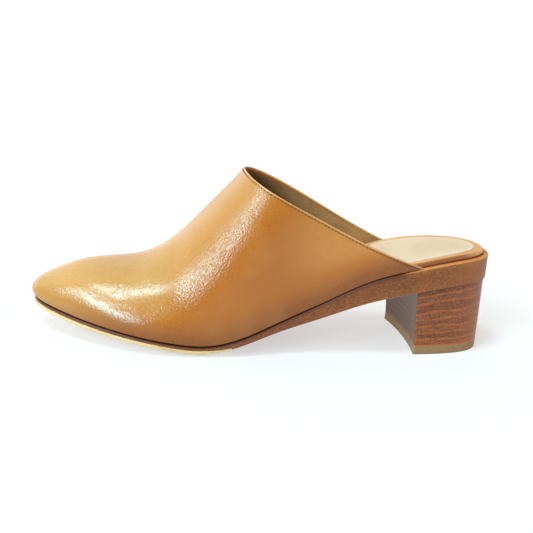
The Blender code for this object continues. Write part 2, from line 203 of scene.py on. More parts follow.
# Half widths of the last's plan outline as shares of the ball width, and the bend of its axis in mm:
# along, lateral, medial, axis.
OUTLINE = (
    (0.00, 0.000, 0.000, 0.0),
    (0.02, 0.172, 0.189, 0.0),
    (0.06, 0.268, 0.277, 0.0),
    (0.12, 0.334, 0.343, 0.0),
    (0.20, 0.376, 0.377, 0.0),
    (0.32, 0.391, 0.324, 0.0),
    (0.44, 0.402, 0.325, 0.0),
    (0.56, 0.493, 0.388, 0.0),
    (0.66, 0.528, 0.470, 0.0),
    (0.76, 0.520, 0.458, 0.4),
    (0.86, 0.434, 0.362, 2.2),
    (0.94, 0.286, 0.236, 3.5),
    (0.98, 0.168, 0.142, 4.0),
    (1.00, 0.000, 0.000, 4.0),
)

# Height of the feather line as a share of the seat height, and the sole's edge under it in mm.
SOLE = (
    (0.00, 0.997, 14.0),
    (0.10, 0.967, 13.6),
    (0.20, 0.884, 13.2),
    (0.30, 0.745, 11.9),
    (0.40, 0.500, 8.2),
    (0.50, 0.293, 4.8),
    (0.57, 0.166, 3.8),
    (0.64, 0.098, 3.8),
    (0.72, 0.120, 3.7),
    (0.84, 0.186, 3.7),
    (1.00, 0.278, 3.7),
)

# Height of the crest over the feather line, as a share of the instep height.
RIDGE = (
    (0.18, 0.766),
    (0.36, 0.943),
    (0.50, 1.000),
    (0.577, 0.832),
    (0.64, 0.667),
    (0.70, 0.481),
    (0.76, 0.350),
    (0.83, 0.286),
    (0.90, 0.236),
    (0.96, 0.148),
    (0.985, 0.093),
    (1.00, 0.000),
)

# How square each side of a section is, its crest's shift to the big-toe side and its bulge in mm.
SECTIONS = (
    (0.18, 2.3, 2.3, 2.0, 0.0),
    (0.42, 2.3, 2.4, 2.0, 0.4),
    (0.577, 2.7, 2.4, 2.0, 0.9),
    (0.70, 2.2, 2.2, 2.0, 1.0),
    (0.80, 2.2, 2.2, 2.0, 1.0),
    (0.90, 2.2, 2.2, 1.0, 1.0),
    (1.00, 2.2, 2.2, 0.0, 1.0),
)


@dataclass
class Last:
    """The foot form that every piece is shaped over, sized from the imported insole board."""

    ball_width: float = 76.0
    instep_height: float = 98.0
    seat_height: float = 55.7
    bulge_rise: float = 6.0  # height over the feather line where the walls bulge most
    nose_bulge: float = 2.9
    nose_reach: float = 16.7  # how far back from the toe tip the nose's bulge dies out
    edge_samples: int = 1600
    loop_samples: int = 499
    batch: int = 4000  # points measured at once
    length: float = field(init=False)
    rest_station: float = field(init=False)
    lateral_half: Curve = field(init=False)
    medial_half: Curve = field(init=False)
    axis_bend: Curve = field(init=False)
    feather_height: Curve = field(init=False)
    sole_thickness: Curve = field(init=False)
    ridge_height: Curve = field(init=False)
    lateral_square: Curve = field(init=False)
    medial_square: Curve = field(init=False)
    crest_offset: Curve = field(init=False)
    wall_bulge: Curve = field(init=False)

    def __post_init__(self) -> None:
        """Reads the length from the frame and fits the tables' splines."""
        low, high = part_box("insole")
        self.length = (high[0] - low[0]) / MM + 2 * INSOLE_INSET
        self.rest_station = high[0] / MM + INSOLE_INSET
        along, lateral, medial, axis = np.array(OUTLINE).T
        self.lateral_half = spline(turn(along), lateral * self.ball_width)
        self.medial_half = spline(turn(along), medial * self.ball_width)
        self.axis_bend = spline(along, axis)
        along, feather, thickness = np.array(SOLE).T
        self.feather_height = spline(along, feather * self.seat_height)
        self.sole_thickness = spline(along, thickness)
        along, height = np.array(RIDGE).T
        self.ridge_height = spline(turn(along), height * self.instep_height)
        along, lateral, medial, crest, bulge = np.array(SECTIONS).T
        self.lateral_square = spline(along, lateral)
        self.medial_square = spline(along, medial)
        self.crest_offset = spline(along, crest)
        self.wall_bulge = spline(along, bulge)

    def feather(self, station: np.ndarray) -> np.ndarray:
        """Height of the feather line, where upper, insole and sole meet."""
        return self.feather_height(station / self.length)

    def underside(self, station: np.ndarray) -> np.ndarray:
        """Height of the lower edge of the sole's sides."""
        return self.feather(station) - self.sole_thickness(station / self.length)

    def outline(self, station: np.ndarray) -> tuple[np.ndarray, np.ndarray]:
        """Y of the lateral and of the medial edge of the last's plan outline.

        Args:
            station: Where to read it.

        Returns:
            The two edges at each station.
        """
        along = np.clip(station / self.length, 0, 1)
        axis = self.axis_bend(along)
        return axis - self.lateral_half(turn(along)), axis + self.medial_half(turn(along))

    def edges(self, offset: float, shares: np.ndarray) -> np.ndarray:
        """The outline moved outward, read at shares of its own length.

        Args:
            offset: Distance outward, negative for inward.
            shares: Shares of the way from the moved outline's heel end to its toe end.

        Returns:
            Station and Y at each share, for the lateral and then the medial edge.
        """
        fine = self.length * even_shares(self.edge_samples)
        stations = -offset + (self.length + 2 * offset) * shares
        edges = []
        for side, edge in zip((-1, 1), self.outline(fine)):
            along, across = np.gradient(fine), np.gradient(edge)
            length = np.hypot(along, across)
            moved = fine - side * offset * across / length
            y = np.interp(stations, moved, edge + side * offset * along / length)
            edges.append(np.stack([stations, y], axis=-1))
        return np.stack(edges, axis=1)

    def edge_place(self, points: np.ndarray) -> tuple[np.ndarray, np.ndarray]:
        """Where points lie by the plan outline.

        Args:
            points: Points as station, Y and Z.

        Returns:
            Each point's distance from the outline, and the run along it of the nearest place.
        """
        edges = self.edges(0.0, even_shares(self.loop_samples))
        loop = np.concatenate([edges[:, 0], edges[-2:0:-1, 1]])
        run = run_length(loop)
        plan = points.reshape(-1, 3)[:, :2]
        distances, places = [], []
        for start in range(0, len(plan), self.batch):
            part = plan[start : start + self.batch]
            squared = ((part[:, None] - loop[None]) ** 2).sum(axis=-1)
            distances.append(np.sqrt(squared.min(axis=1)))
            places.append(run[squared.argmin(axis=1)])
        return np.concatenate(distances), np.concatenate(places)

    def surface(self, radius: np.ndarray, angle: np.ndarray) -> np.ndarray:
        """Points on the last, from its polar map centred on the toe tip.

        Args:
            radius: One less the turn of the station, so the toe tip is 0.
            angle: Share of the way over the section, from the lateral to the medial feather line.

        Returns:
            Points as station, Y and Z.
        """
        along = (1 - np.cos((1 - radius) * math.pi)) / 2
        station = along * self.length
        lateral_edge, medial_edge = self.outline(station)
        fullness = np.minimum(1, (medial_edge - lateral_edge) / self.ball_width)
        crest = self.axis_bend(along) + self.crest_offset(along) * fullness
        on_lateral = angle < 0.5
        quarter = np.where(on_lateral, angle, 1 - angle) * math.pi
        power = 2 / np.where(on_lateral, self.lateral_square(along), self.medial_square(along))
        edge = np.where(on_lateral, lateral_edge, medial_edge)
        y = crest + (edge - crest) * np.clip(np.cos(quarter), 0, 1) ** power
        rise = self.ridge_height(1 - radius) * np.clip(np.sin(quarter), 0, 1) ** power
        swell = rise / self.bulge_rise * np.exp(1 - rise / self.bulge_rise)
        y += np.where(on_lateral, -1, 1) * np.cos(quarter) * fullness * self.wall_bulge(along) * swell
        nose = self.nose_bulge * swell * bump(station, self.length, self.nose_reach)
        return np.stack([station + nose, y, self.feather(station) + rise], axis=-1)

    def at(self, station: np.ndarray, angle: np.ndarray) -> np.ndarray:
        """Points on the last, from a station and the share of the way over its section."""
        return self.surface(1 - turn(np.asarray(station) / self.length), np.asarray(angle, float))


@dataclass
class Shape:
    """The points and faces of one piece while it is put together."""

    points: list[np.ndarray] = field(default_factory=list)
    faces: list[tuple[int, ...]] = field(default_factory=list)
    count: int = 0

    def add(self, grid: np.ndarray, closed: bool = False) -> np.ndarray:
        """Adds a grid of points and the quads over it.

        Args:
            grid: Points as station, Y and Z, rows by columns.
            closed: Whether each row is a loop.

        Returns:
            The grid's point numbers.
        """
        index = self.count + np.arange(grid[..., 0].size).reshape(grid.shape[:-1])
        self.points.append(grid.reshape(-1, 3))
        self.count += index.size
        self.join(np.concatenate([index, index[:, :1]], axis=1) if closed else index)
        return index

    def join(self, index: np.ndarray) -> None:
        """Adds quads over a grid of point numbers."""
        corners = (index[:-1, :-1], index[1:, :-1], index[1:, 1:], index[:-1, 1:])
        self.faces += map(tuple, np.stack([corner.ravel() for corner in corners], axis=-1).tolist())

    def cap(self, loop: np.ndarray) -> None:
        """Closes a loop of point numbers with one face."""
        self.faces.append(tuple(loop.tolist()))

    def add_tube(self, rings: np.ndarray) -> None:
        """Adds a stack of loops and closes both its ends.

        Args:
            rings: The loops as station, Y and Z, one a row.
        """
        index = self.add(rings, closed=True)
        self.cap(index[0])
        self.cap(index[-1])

    def all_points(self) -> np.ndarray:
        """Every point so far."""
        return np.concatenate(self.points)


@dataclass
class Workshop:
    """Turns shapes into pieces that ride on the frame."""

    last: Last
    weld: float = 1e-6  # metres within which points become one
    speck: float = 1e-7  # metres under which an edge is dropped

    def world(self, points: np.ndarray) -> np.ndarray:
        """Station, Y and Z in millimetres turned to X, Y and Z in metres.

        Args:
            points: Points as station, Y and Z.

        Returns:
            The same points in the frame's own axes.
        """
        placed = np.array(points, float)
        placed[..., 0] = self.last.rest_station - placed[..., 0]
        return placed * MM

    def piece(
        self,
        name: str,
        shape: Shape,
        material: bpy.types.Material,
        slot: str,
        replaced: str = "",
        marks: dict[str, np.ndarray] | None = None,
        sharp: float = 60.0,
    ) -> bpy.types.Object:
        """Makes one closed piece from its shape.

        Args:
            name: The piece's name.
            shape: Its points and faces.
            material: Its finish.
            slot: The name of a finish slot; not used.
            replaced: The CAD node that it stands for, if any.
            marks: Values at each point that its finish reads, by attribute name.
            sharp: Angle in degrees over which an edge shades sharp.

        Returns:
            The object, riding on the frame's body.
        """
        mesh = bpy.data.meshes.new(name)
        mesh.from_pydata(self.world(shape.all_points()).tolist(), [], shape.faces)
        for key, values in (marks or {}).items():
            kind, store = ("FLOAT", "value") if values.size == shape.count else ("FLOAT_VECTOR", "vector")
            mark = mesh.attributes.new(key, kind, "POINT")
            mark.data.foreach_set(store, values.astype(np.float32).ravel())
        joined = bmesh.new()
        joined.from_mesh(mesh)
        bmesh.ops.remove_doubles(joined, verts=joined.verts, dist=self.weld)
        bmesh.ops.dissolve_degenerate(joined, edges=joined.edges, dist=self.speck)
        bmesh.ops.recalc_face_normals(joined, faces=joined.faces)
        if joined.calc_volume(signed=True) < 0:
            bmesh.ops.reverse_faces(joined, faces=joined.faces)
        joined.to_mesh(mesh)
        joined.free()
        made = bpy.data.objects.new(name, mesh)
        bpy.context.scene.collection.objects.link(made)
        mesh.materials.append(material)
        mesh.shade_smooth()
        mesh.set_sharp_from_angle(angle=math.radians(sharp))
        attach(made, BODY)
        if replaced:
            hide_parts(replaced)
        log.info("%s: %d points, %d faces", name, len(mesh.vertices), len(mesh.polygons))
        return made


def linear(colour: str) -> tuple[float, float, float, float]:
    """An sRGB hex colour turned to linear red, green, blue and alpha.

    Args:
        colour: Six hex digits after a #.

    Returns:
        The four channels, from 0 to 1.
    """
    parts = [int(colour[i : i + 2], 16) / 255 for i in (1, 3, 5)]
    red, green, blue = (p / 12.92 if p <= 0.04045 else ((p + 0.055) / 1.055) ** 2.4 for p in parts)
    return red, green, blue, 1.0


def add_node(
    tree: bpy.types.NodeTree, kind: str, settings: dict, links: dict | None = None
) -> bpy.types.Node:
    """Adds a node with its settings and links.

    Args:
        tree: The material's node tree.
        kind: The node's type, without its leading ShaderNode.
        settings: Values by socket name or number, or by the name of a property of the node.
        links: Output sockets by the input that they feed.

    Returns:
        The node.
    """
    node = tree.nodes.new("ShaderNode" + kind)
    for key, value in settings.items():
        if isinstance(key, str) and key not in node.inputs:
            setattr(node, key, value)
    for key, value in settings.items():
        if isinstance(key, int) or key in node.inputs:
            node.inputs[key].default_value = value
    for key, output in (links or {}).items():
        tree.links.new(output, node.inputs[key])
    return node


class Grain(Enum):
    """The patterns that break up a surface, by the texture that draws each."""

    CLOUDS = "TexNoise"
    PORES = "TexVoronoi"


# What a colour or a relief follows: a pattern's value, or the name of a mark stored at the mesh's points.
Source = bpy.types.NodeSocket | str

PLAIN = (0.0, 1.0)  # the band that leaves a value as it is


@dataclass
class Recipe:
    """A material while it is built: one Principled surface and the patterns that feed it."""

    name: str
    colour: str
    roughness: float
    ior: float = 1.5
    material: bpy.types.Material = field(init=False)
    tree: bpy.types.NodeTree = field(init=False)
    shader: bpy.types.Node = field(init=False)
    place: bpy.types.NodeSocket = field(init=False)
    tone: bpy.types.NodeSocket | None = field(default=None, init=False)
    relief: bpy.types.NodeSocket | None = field(default=None, init=False)

    def __post_init__(self) -> None:
        """Makes the material and its coordinates in millimetres."""
        self.material = bpy.data.materials.new(self.name)
        self.material.use_nodes = True
        self.tree = self.material.node_tree
        self.shader = self.tree.nodes["Principled BSDF"]
        self.set({"Base Color": linear(self.colour), "Roughness": self.roughness, "IOR": self.ior})
        where = add_node(self.tree, "TexCoord", {}).outputs["Object"]
        scale = {"operation": "SCALE", "Scale": 1 / MM}
        self.place = add_node(self.tree, "VectorMath", scale, {0: where}).outputs[0]

    def set(self, values: dict[str, Any]) -> None:
        """Sets constants on the shader's own sockets."""
        for key, value in values.items():
            self.shader.inputs[key].default_value = value

    def value(self, source: Source, within: str = "") -> bpy.types.NodeSocket:
        """A pattern's or a mark's value.

        Args:
            source: The pattern, or the mark's name.
            within: Another mark that it is multiplied by, if any.

        Returns:
            The socket that gives it.
        """
        if isinstance(source, str):
            source = add_node(self.tree, "Attribute", {"attribute_name": source}).outputs["Fac"]
        if not within:
            return source
        links = {0: source, 1: self.value(within)}
        return add_node(self.tree, "Math", {"operation": "MULTIPLY"}, links).outputs[0]

    def pattern(
        self,
        grain: Grain,
        size: float | tuple[float, float, float],
        detail: float = 2.0,
        warp: float = 0.0,
        along: str = "",
    ) -> bpy.types.NodeSocket:
        """Draws a pattern over the piece.

        Args:
            grain: What it looks like.
            size: Width of one cloud or pore in millimetres, or its three sizes where it is stretched.
            detail: Octaves of finer noise in the clouds.
            warp: How much the clouds are pulled out of shape.
            along: The mark that holds its coordinates, or none for the piece's own.

        Returns:
            A value from 0 to 1, which is the distance from the nearest pore's middle for pores.
        """
        place = self.place
        if along:
            place = add_node(self.tree, "Attribute", {"attribute_name": along}).outputs["Vector"]
        if isinstance(size, tuple):
            stretch = {"operation": "MULTIPLY", 1: tuple(1 / width for width in size)}
            place = add_node(self.tree, "VectorMath", stretch, {0: place}).outputs[0]
            size = 1.0
        settings = {"Scale": 1 / size}
        if grain is Grain.CLOUDS:
            settings |= {"Detail": detail, "Distortion": warp}
        return add_node(self.tree, grain.value, settings, {"Vector": place}).outputs[0]

    def tint(
        self,
        colour: str,
        source: Source,
        strength: float,
        band: tuple[float, float] = PLAIN,
        within: str = "",
    ) -> None:
        """Lays a colour over the surface's colour.

        Args:
            colour: The colour laid over.
            source: Where it goes.
            strength: The most of it that shows.
            band: The source's values where the colour begins and where it is full.
            within: A mark that it is kept inside, if any.
        """
        amount = self.value(source, within)
        if band != PLAIN:
            settings = {"interpolation_type": "SMOOTHSTEP", 1: band[0], 2: band[1]}
            amount = add_node(self.tree, "MapRange", settings, {0: amount}).outputs[0]
        share = add_node(self.tree, "Math", {"operation": "MULTIPLY", 1: strength}, {0: amount})
        settings = {"data_type": "RGBA", 6: linear(self.colour), 7: linear(colour)}
        links = {0: share.outputs[0]} | ({6: self.tone} if self.tone else {})
        self.tone = add_node(self.tree, "Mix", settings, links).outputs[2]

    def tint_marks(self, **marks: tuple[str, float]) -> None:
        """Lays each marked place's colour, at its strength, over the surface in turn."""
        for mark, (colour, strength) in marks.items():
            self.tint(colour, mark, strength)

    def emboss(self, source: Source, depth: float, within: str = "") -> None:
        """Raises the surface.

        Args:
            source: The relief, from 0 to 1.
            depth: Its height in millimetres, negative to sink it.
            within: A mark that fades it, if any.
        """
        links = {"Height": self.value(source, within)} | ({"Normal": self.relief} if self.relief else {})
        settings = {"Strength": 1.0, "Distance": depth * MM}
        self.relief = add_node(self.tree, "Bump", settings, links).outputs[0]

    def polish(self, source: Source, smooth: float, rough: float) -> None:
        """Spreads the roughness between two values by a source from 0 to 1."""
        spread = add_node(self.tree, "MapRange", {3: smooth, 4: rough}, {0: self.value(source)})
        self.tree.links.new(spread.outputs[0], self.shader.inputs["Roughness"])

    def finish(self) -> bpy.types.Material:
        """Links the colour and relief to the surface.

        Returns:
            The finished material.
        """
        if self.tone is not None:
            self.tree.links.new(self.tone, self.shader.inputs["Base Color"])
        if self.relief is not None:
            self.tree.links.new(self.relief, self.shader.inputs["Normal"])
        return self.material


@dataclass(frozen=True)
class CalfLeather:
    """Full-grain calf, aniline dyed and waxed: a clear warm tan whose satin shine sparkles in its grain."""

    dye: str = "#9F5A11"
    pale: str = "#B9813E"
    deep: str = "#965826"
    # crown and toe are painted light.
    crown: str = "#B38447"
    wing: str = "#AF7635"
    toe: str = "#BD8D4D"
    # low and waist are painted shade low on the sides.
    low: str = "#652E03"
    waist: str = "#884A14"
    wax: str = "#D0FAFF"  # the wax film shines slightly blue
    groove_shade: str = "#4A2817"
    # rim is the painted highlight along the folded edge.
    rim: str = "#C08F59"
    cloud_width: float = 26.0
    mottle_width: float = 9.0
    fleck_width: float = 1.3
    grain_width: float = 1.0  # real pores are 0.2 mm apart; drawn coarser so that the sparkle shows
    grain_depth: float = 0.16
    pebble_width: float = 1.2
    pebble_depth: float = 0.20
    wax_width: float = 1.4

    def make(self) -> bpy.types.Material:
        """Mixes the material, which reads the ten marks tinted below and grain, how strong its grain is.

        Returns:
            The material.
        """
        made = Recipe("waxed_calf_leather", self.dye, roughness=0.22)
        made.set({"Specular IOR Level": 0.50, "Specular Tint": linear(self.wax)})
        made.tint_marks(
            # crown paints light on faces that turn upward.
            crown=(self.crown, 1.0),
            wing=(self.wing, 0.75),
            # waist paints shade low on the waist.
            waist=(self.waist, 0.8),
            # toe paints light over the toe.
            toe=(self.toe, 0.85),
            # low paints shade low on the sides.
            low=(self.low, 0.65),
        )
        clouds = made.pattern(Grain.CLOUDS, self.cloud_width, detail=3.0)
        mottle = made.pattern(Grain.CLOUDS, self.mottle_width, detail=4.0, warp=0.6)
        flecks = made.pattern(Grain.CLOUDS, self.fleck_width, detail=3.0)
        pores = made.pattern(Grain.PORES, self.grain_width)
        made.tint(self.pale, clouds, strength=0.2, band=(0.45, 0.75))
        made.tint(self.deep, mottle, strength=0.14, band=(0.45, 0.8))
        made.tint(self.deep, flecks, strength=0.14, band=(0.4, 0.7))
        made.tint(self.deep, pores, strength=0.15, band=(0.45, 0.8))
        made.tint_marks(
            # crease paints shade in the creases' troughs.
            crease=(self.deep, 0.12),
            # groove paints shade along the stitch groove.
            groove=(self.groove_shade, 0.12),
            # rim paints a highlight along the folded edge.
            rim=(self.rim, 0.8),
            # foot paints shade in the gap above the sole.
            foot=(self.groove_shade, 1.0),
        )
        made.polish(made.pattern(Grain.CLOUDS, self.wax_width, detail=3.0), smooth=0.17, rough=0.25)
        made.emboss(pores, -self.grain_depth, within="grain")
        made.emboss(made.pattern(Grain.CLOUDS, self.pebble_width), self.pebble_depth, within="grain")
        return made.finish()


@dataclass(frozen=True)
class LiningLeather:
    """Vegetable-tanned goat lining, brushed: matt and olive brown, darker in rubbed patches, with painted
    shade deep in the toe.
    """

    dye: str = "#B48753"
    # worn colours the rubbed patches and also the painted shade deep in the toe.
    worn: str = "#54341E"
    rub_width: float = 14.0
    grain_width: float = 0.6  # real pores are 0.3 mm apart; drawn coarser so that they show
    grain_depth: float = 0.05

    def make(self) -> bpy.types.Material:
        """Mixes the material, which reads the mark depth, 1 deep in the toe, where it paints shade.

        Returns:
            The material.
        """
        made = Recipe("brushed_goat_lining", self.dye, roughness=0.62, ior=1.45)
        rubbed = made.pattern(Grain.CLOUDS, self.rub_width, detail=4.0)
        pores = made.pattern(Grain.PORES, self.grain_width)
        made.tint(self.worn, rubbed, strength=0.35, band=(0.4, 0.8))
        # Painted shade deep in the toe.
        made.tint(self.worn, "depth", strength=0.9)
        made.tint(self.worn, pores, strength=0.3, band=(0.4, 0.8))
        made.emboss(pores, -self.grain_depth)
        return made.finish()


@dataclass(frozen=True)
class WaxedThread:
    """Bonded nylon thread, twisted and waxed: small dark ticks with a soft shine."""

    dye: str = "#47280B"
    faded: str = "#5A3418"
    fade_width: float = 0.8
    twist_width: float = 0.25
    twist_depth: float = 0.03

    def make(self) -> bpy.types.Material:
        """Mixes the material.

        Returns:
            The material.
        """
        made = Recipe("waxed_nylon_thread", self.dye, roughness=0.5, ior=1.53)
        made.set({"Specular IOR Level": 0.25})
        made.tint(self.faded, made.pattern(Grain.CLOUDS, self.fade_width), strength=0.5, band=(0.4, 0.7))
        made.emboss(made.pattern(Grain.PORES, self.twist_width), -self.twist_depth)
        return made.finish()


@dataclass(frozen=True)
class CoverLeather:
    """Split calf wrapped over the insole board: the upper's tan, a little more orange and less shiny."""

    dye: str = "#CB975C"
    # worn colours the rubbed patches and also the painted shade on the wall.
    worn: str = "#702D06"
    foot_shade: str = "#532610"
    rub_width: float = 11.0
    grain_width: float = 0.7  # real pores are 0.2 mm apart; drawn coarser so that they show
    grain_depth: float = 0.04
    wax_width: float = 1.8

    def make(self) -> bpy.types.Material:
        """Mixes the material, which reads the marks wall, 1 on the side, and foot, 1 at the lower edge; both
        paint shade.

        Returns:
            The material.
        """
        made = Recipe("wrapped_split_calf", self.dye, roughness=0.36, ior=1.47)
        rubbed = made.pattern(Grain.CLOUDS, self.rub_width, detail=3.0)
        pores = made.pattern(Grain.PORES, self.grain_width)
        made.tint(self.worn, rubbed, strength=0.25, band=(0.45, 0.8))
        # wall and foot paint shade down the board's side and at its foot.
        made.tint_marks(wall=(self.worn, 0.85), foot=(self.foot_shade, 0.85))
        made.tint(self.worn, pores, strength=0.25, band=(0.4, 0.8))
        made.polish(made.pattern(Grain.CLOUDS, self.wax_width), smooth=0.40, rough=0.52)
        made.emboss(pores, -self.grain_depth)
        return made.finish()


@dataclass(frozen=True)
class SockLeather:
    """Cream sheepskin laid over thin foam, hot pressed: soft, matt and a little yellowed under the foot."""

    dye: str = "#C5AB90"
    yellowed: str = "#B3966F"
    pressed: str = "#CABBAE"
    stain_width: float = 13.0
    grain_width: float = 0.9  # real pores are 0.3 mm apart; drawn coarser so that they show
    grain_depth: float = 0.05
    dent_width: float = 4.0
    dent_depth: float = 0.08
    nap_width: float = 2.2

    def make(self) -> bpy.types.Material:
        """Mixes the material, which reads the marks line, the pressed border, and tread, where a foot rests.

        Returns:
            The material.
        """
        made = Recipe("pressed_sheepskin", self.dye, roughness=0.55, ior=1.45)
        made.set({"Sheen Weight": 0.08, "Sheen Roughness": 0.5})
        stains = made.pattern(Grain.CLOUDS, self.stain_width, detail=4.0)
        pores = made.pattern(Grain.PORES, self.grain_width)
        made.tint(self.yellowed, stains, strength=0.4, band=(0.4, 0.75))
        made.tint(self.yellowed, "tread", strength=0.35)
        made.tint(self.yellowed, pores, strength=0.15, band=(0.45, 0.85))
        made.tint(self.pressed, "line", strength=0.7)
        made.polish(made.pattern(Grain.CLOUDS, self.nap_width, detail=3.0), smooth=0.48, rough=0.62)
        made.emboss(pores, -self.grain_depth)
        made.emboss(made.pattern(Grain.CLOUDS, self.dent_width), self.dent_depth)
        return made.finish()


@dataclass(frozen=True)
class SoleEdge:
    """Bonded leather board, trimmed, inked and burnished: brown, with fibres that streak along the edge."""

    ink: str = "#6F3C18"
    fibre: str = "#4E270E"
    # pale also paints light at the rear.
    pale: str = "#93551D"
    # worn lightens the top and lower edges, partly as worn edge and partly as painted highlight.
    worn: str = "#C68045"
    # seam is painted shade under the upper's foot.
    seam: str = "#4F281A"
    # Length along the edge, height and depth; real fibres are 0.1 mm thick, drawn thicker so that they show.
    fibre_size: tuple[float, float, float] = (1.8, 0.6, 0.6)
    fibre_depth: float = 0.06
    cloud_width: float = 17.0

    def make(self) -> bpy.types.Material:
        """Mixes the material, which reads board (run, rise and depth in mm) and the marks aft, worn and seam.

        Returns:
            The material.
        """
        made = Recipe("burnished_leather_board", self.ink, roughness=0.42)
        made.set({"Specular IOR Level": 0.38})
        fibres = made.pattern(Grain.CLOUDS, self.fibre_size, detail=4.0, warp=0.4, along="board")
        clouds = made.pattern(Grain.CLOUDS, self.cloud_width, detail=3.0)
        made.tint(self.fibre, fibres, strength=0.7, band=(0.48, 0.58))
        made.tint(self.pale, fibres, strength=0.7, band=(0.48, 0.36))
        made.tint(self.pale, clouds, strength=0.35, band=(0.4, 0.8))
        # aft is painted light at the rear, worn is partly worn edge and partly painted highlight, and seam is
        # painted shade under the upper.
        made.tint_marks(aft=(self.pale, 0.6), worn=(self.worn, 0.85), seam=(self.seam, 1.0))
        made.polish(fibres, smooth=0.36, rough=0.55)
        made.emboss(fibres, self.fibre_depth)
        return made.finish()


@dataclass(frozen=True)
class OutsoleLeather:
    """Oak-tanned sole leather with a natural edge: cream, a little rough, scuffed dark where it treads."""

    natural: str = "#CDB17D"
    fibre: str = "#A58456"
    scuffed: str = "#826A50"
    fibre_width: float = 0.8  # real fibres are 0.1 mm thick; drawn thicker so that they show
    fibre_depth: float = 0.08
    cloud_width: float = 12.0
    scuff_size: tuple[float, float, float] = (9.0, 2.2, 4.0)
    scuff_depth: float = 0.06

    def make(self) -> bpy.types.Material:
        """Mixes the material, which reads the mark tread, 1 where it meets the ground.

        Returns:
            The material.
        """
        made = Recipe("oak_tanned_sole_leather", self.natural, roughness=0.62)
        fibres = made.pattern(Grain.CLOUDS, self.fibre_width, detail=4.0)
        clouds = made.pattern(Grain.CLOUDS, self.cloud_width, detail=3.0)
        scuffs = made.pattern(Grain.CLOUDS, self.scuff_size, detail=5.0, warp=1.2)
        made.tint(self.fibre, fibres, strength=0.5, band=(0.45, 0.7))
        made.tint(self.fibre, clouds, strength=0.4, band=(0.45, 0.75))
        made.tint(self.scuffed, scuffs, strength=0.25, band=(0.50, 0.68))
        made.tint(self.scuffed, "tread", strength=0.75)
        made.polish(scuffs, smooth=0.5, rough=0.75)
        made.emboss(fibres, self.fibre_depth)
        made.emboss(scuffs, self.scuff_depth)
        return made.finish()


@dataclass(frozen=True)
class StackedLeather:
    """Lifts of sole leather, glued, sanded and waxed: brown layers parted by lighter wavering lines."""

    layer: str = "#794321"
    plum: str = "#4B2315"
    line: str = "#9E5726"
    foot_line: str = "#AA5B24"
    # breast is painted shade over the front face.
    breast: str = "#553B25"
    breast_line: str = "#342316"
    # Length round the heel, height and depth; real fibres are finer, drawn as coarse as they need to show.
    fibre_size: tuple[float, float, float] = (6.0, 0.5, 2.0)
    fibre_depth: float = 0.05
    speck_size: tuple[float, float, float] = (1.1, 0.55, 0.8)

    def make(self) -> bpy.types.Material:
        """Mixes the material, which reads stack (run, rise and depth in mm) and the five marks tinted below.

        Returns:
            The material.
        """
        made = Recipe("waxed_stacked_leather", self.layer, roughness=0.38)
        made.set({"Specular IOR Level": 0.38})
        fibres = made.pattern(Grain.CLOUDS, self.fibre_size, detail=5.0, warp=0.5, along="stack")
        specks = made.pattern(Grain.CLOUDS, self.speck_size, detail=3.0, along="stack")
        # lift darkens alternate lifts and, near the top, paints shade under the sole.
        made.tint(self.plum, "lift", strength=0.95)
        made.tint(self.plum, fibres, strength=0.45, band=(0.48, 0.62))
        made.tint(self.line, fibres, strength=0.45, band=(0.48, 0.36))
        made.tint(self.plum, specks, strength=0.65, band=(0.50, 0.60))
        made.tint(self.line, specks, strength=0.5, band=(0.48, 0.40))
        # aft paints light towards the back, and breast paints the front face darker as shade.
        made.tint_marks(aft=(self.line, 0.35), joint=(self.line, 0.75), breast=(self.breast, 0.92))
        made.tint(self.breast_line, "joint", strength=0.7, within="breast")
        made.tint(self.foot_line, "foot", strength=0.9)
        made.polish(fibres, smooth=0.32, rough=0.5)
        made.emboss(fibres, self.fibre_depth)
        return made.finish()


@dataclass(frozen=True)
class TopPieceRubber:
    """Moulded resin rubber, buffed: olive beige and matt, with fine sanding marks."""

    moulded: str = "#83643D"
    dirty: str = "#615737"
    scratch_size: tuple[float, float, float] = (3.0, 3.0, 0.9)  # real grit is finer; drawn so that it shows
    scratch_depth: float = 0.05

    def make(self) -> bpy.types.Material:
        """Mixes the material, which reads the mark tread, 1 where it meets the ground.

        Returns:
            The material.
        """
        made = Recipe("buffed_resin_rubber", self.moulded, roughness=0.58, ior=1.52)
        scratches = made.pattern(Grain.CLOUDS, self.scratch_size, detail=4.0)
        made.tint(self.dirty, scratches, strength=0.45, band=(0.45, 0.75))
        made.tint(self.dirty, "tread", strength=0.7)
        made.polish(scratches, smooth=0.5, rough=0.7)
        made.emboss(scratches, self.scratch_depth)
        return made.finish()


@dataclass(frozen=True)
class GlowingSheet:
    """An opal sheet or paper lit softly from below or behind: pale, matt and almost even."""

    name: str
    colour: str
    glow: float
    shade: str = "#9B9B9B"
    shade_width: float = 60.0

    def make(self) -> bpy.types.Material:
        """Mixes the material.

        Returns:
            The material.
        """
        made = Recipe(self.name, self.colour, roughness=0.9, ior=1.4)
        made.set({"Emission Color": linear("#FFFFFF"), "Emission Strength": self.glow})
        made.tint(self.shade, made.pattern(Grain.CLOUDS, self.shade_width), strength=0.3)
        return made.finish()


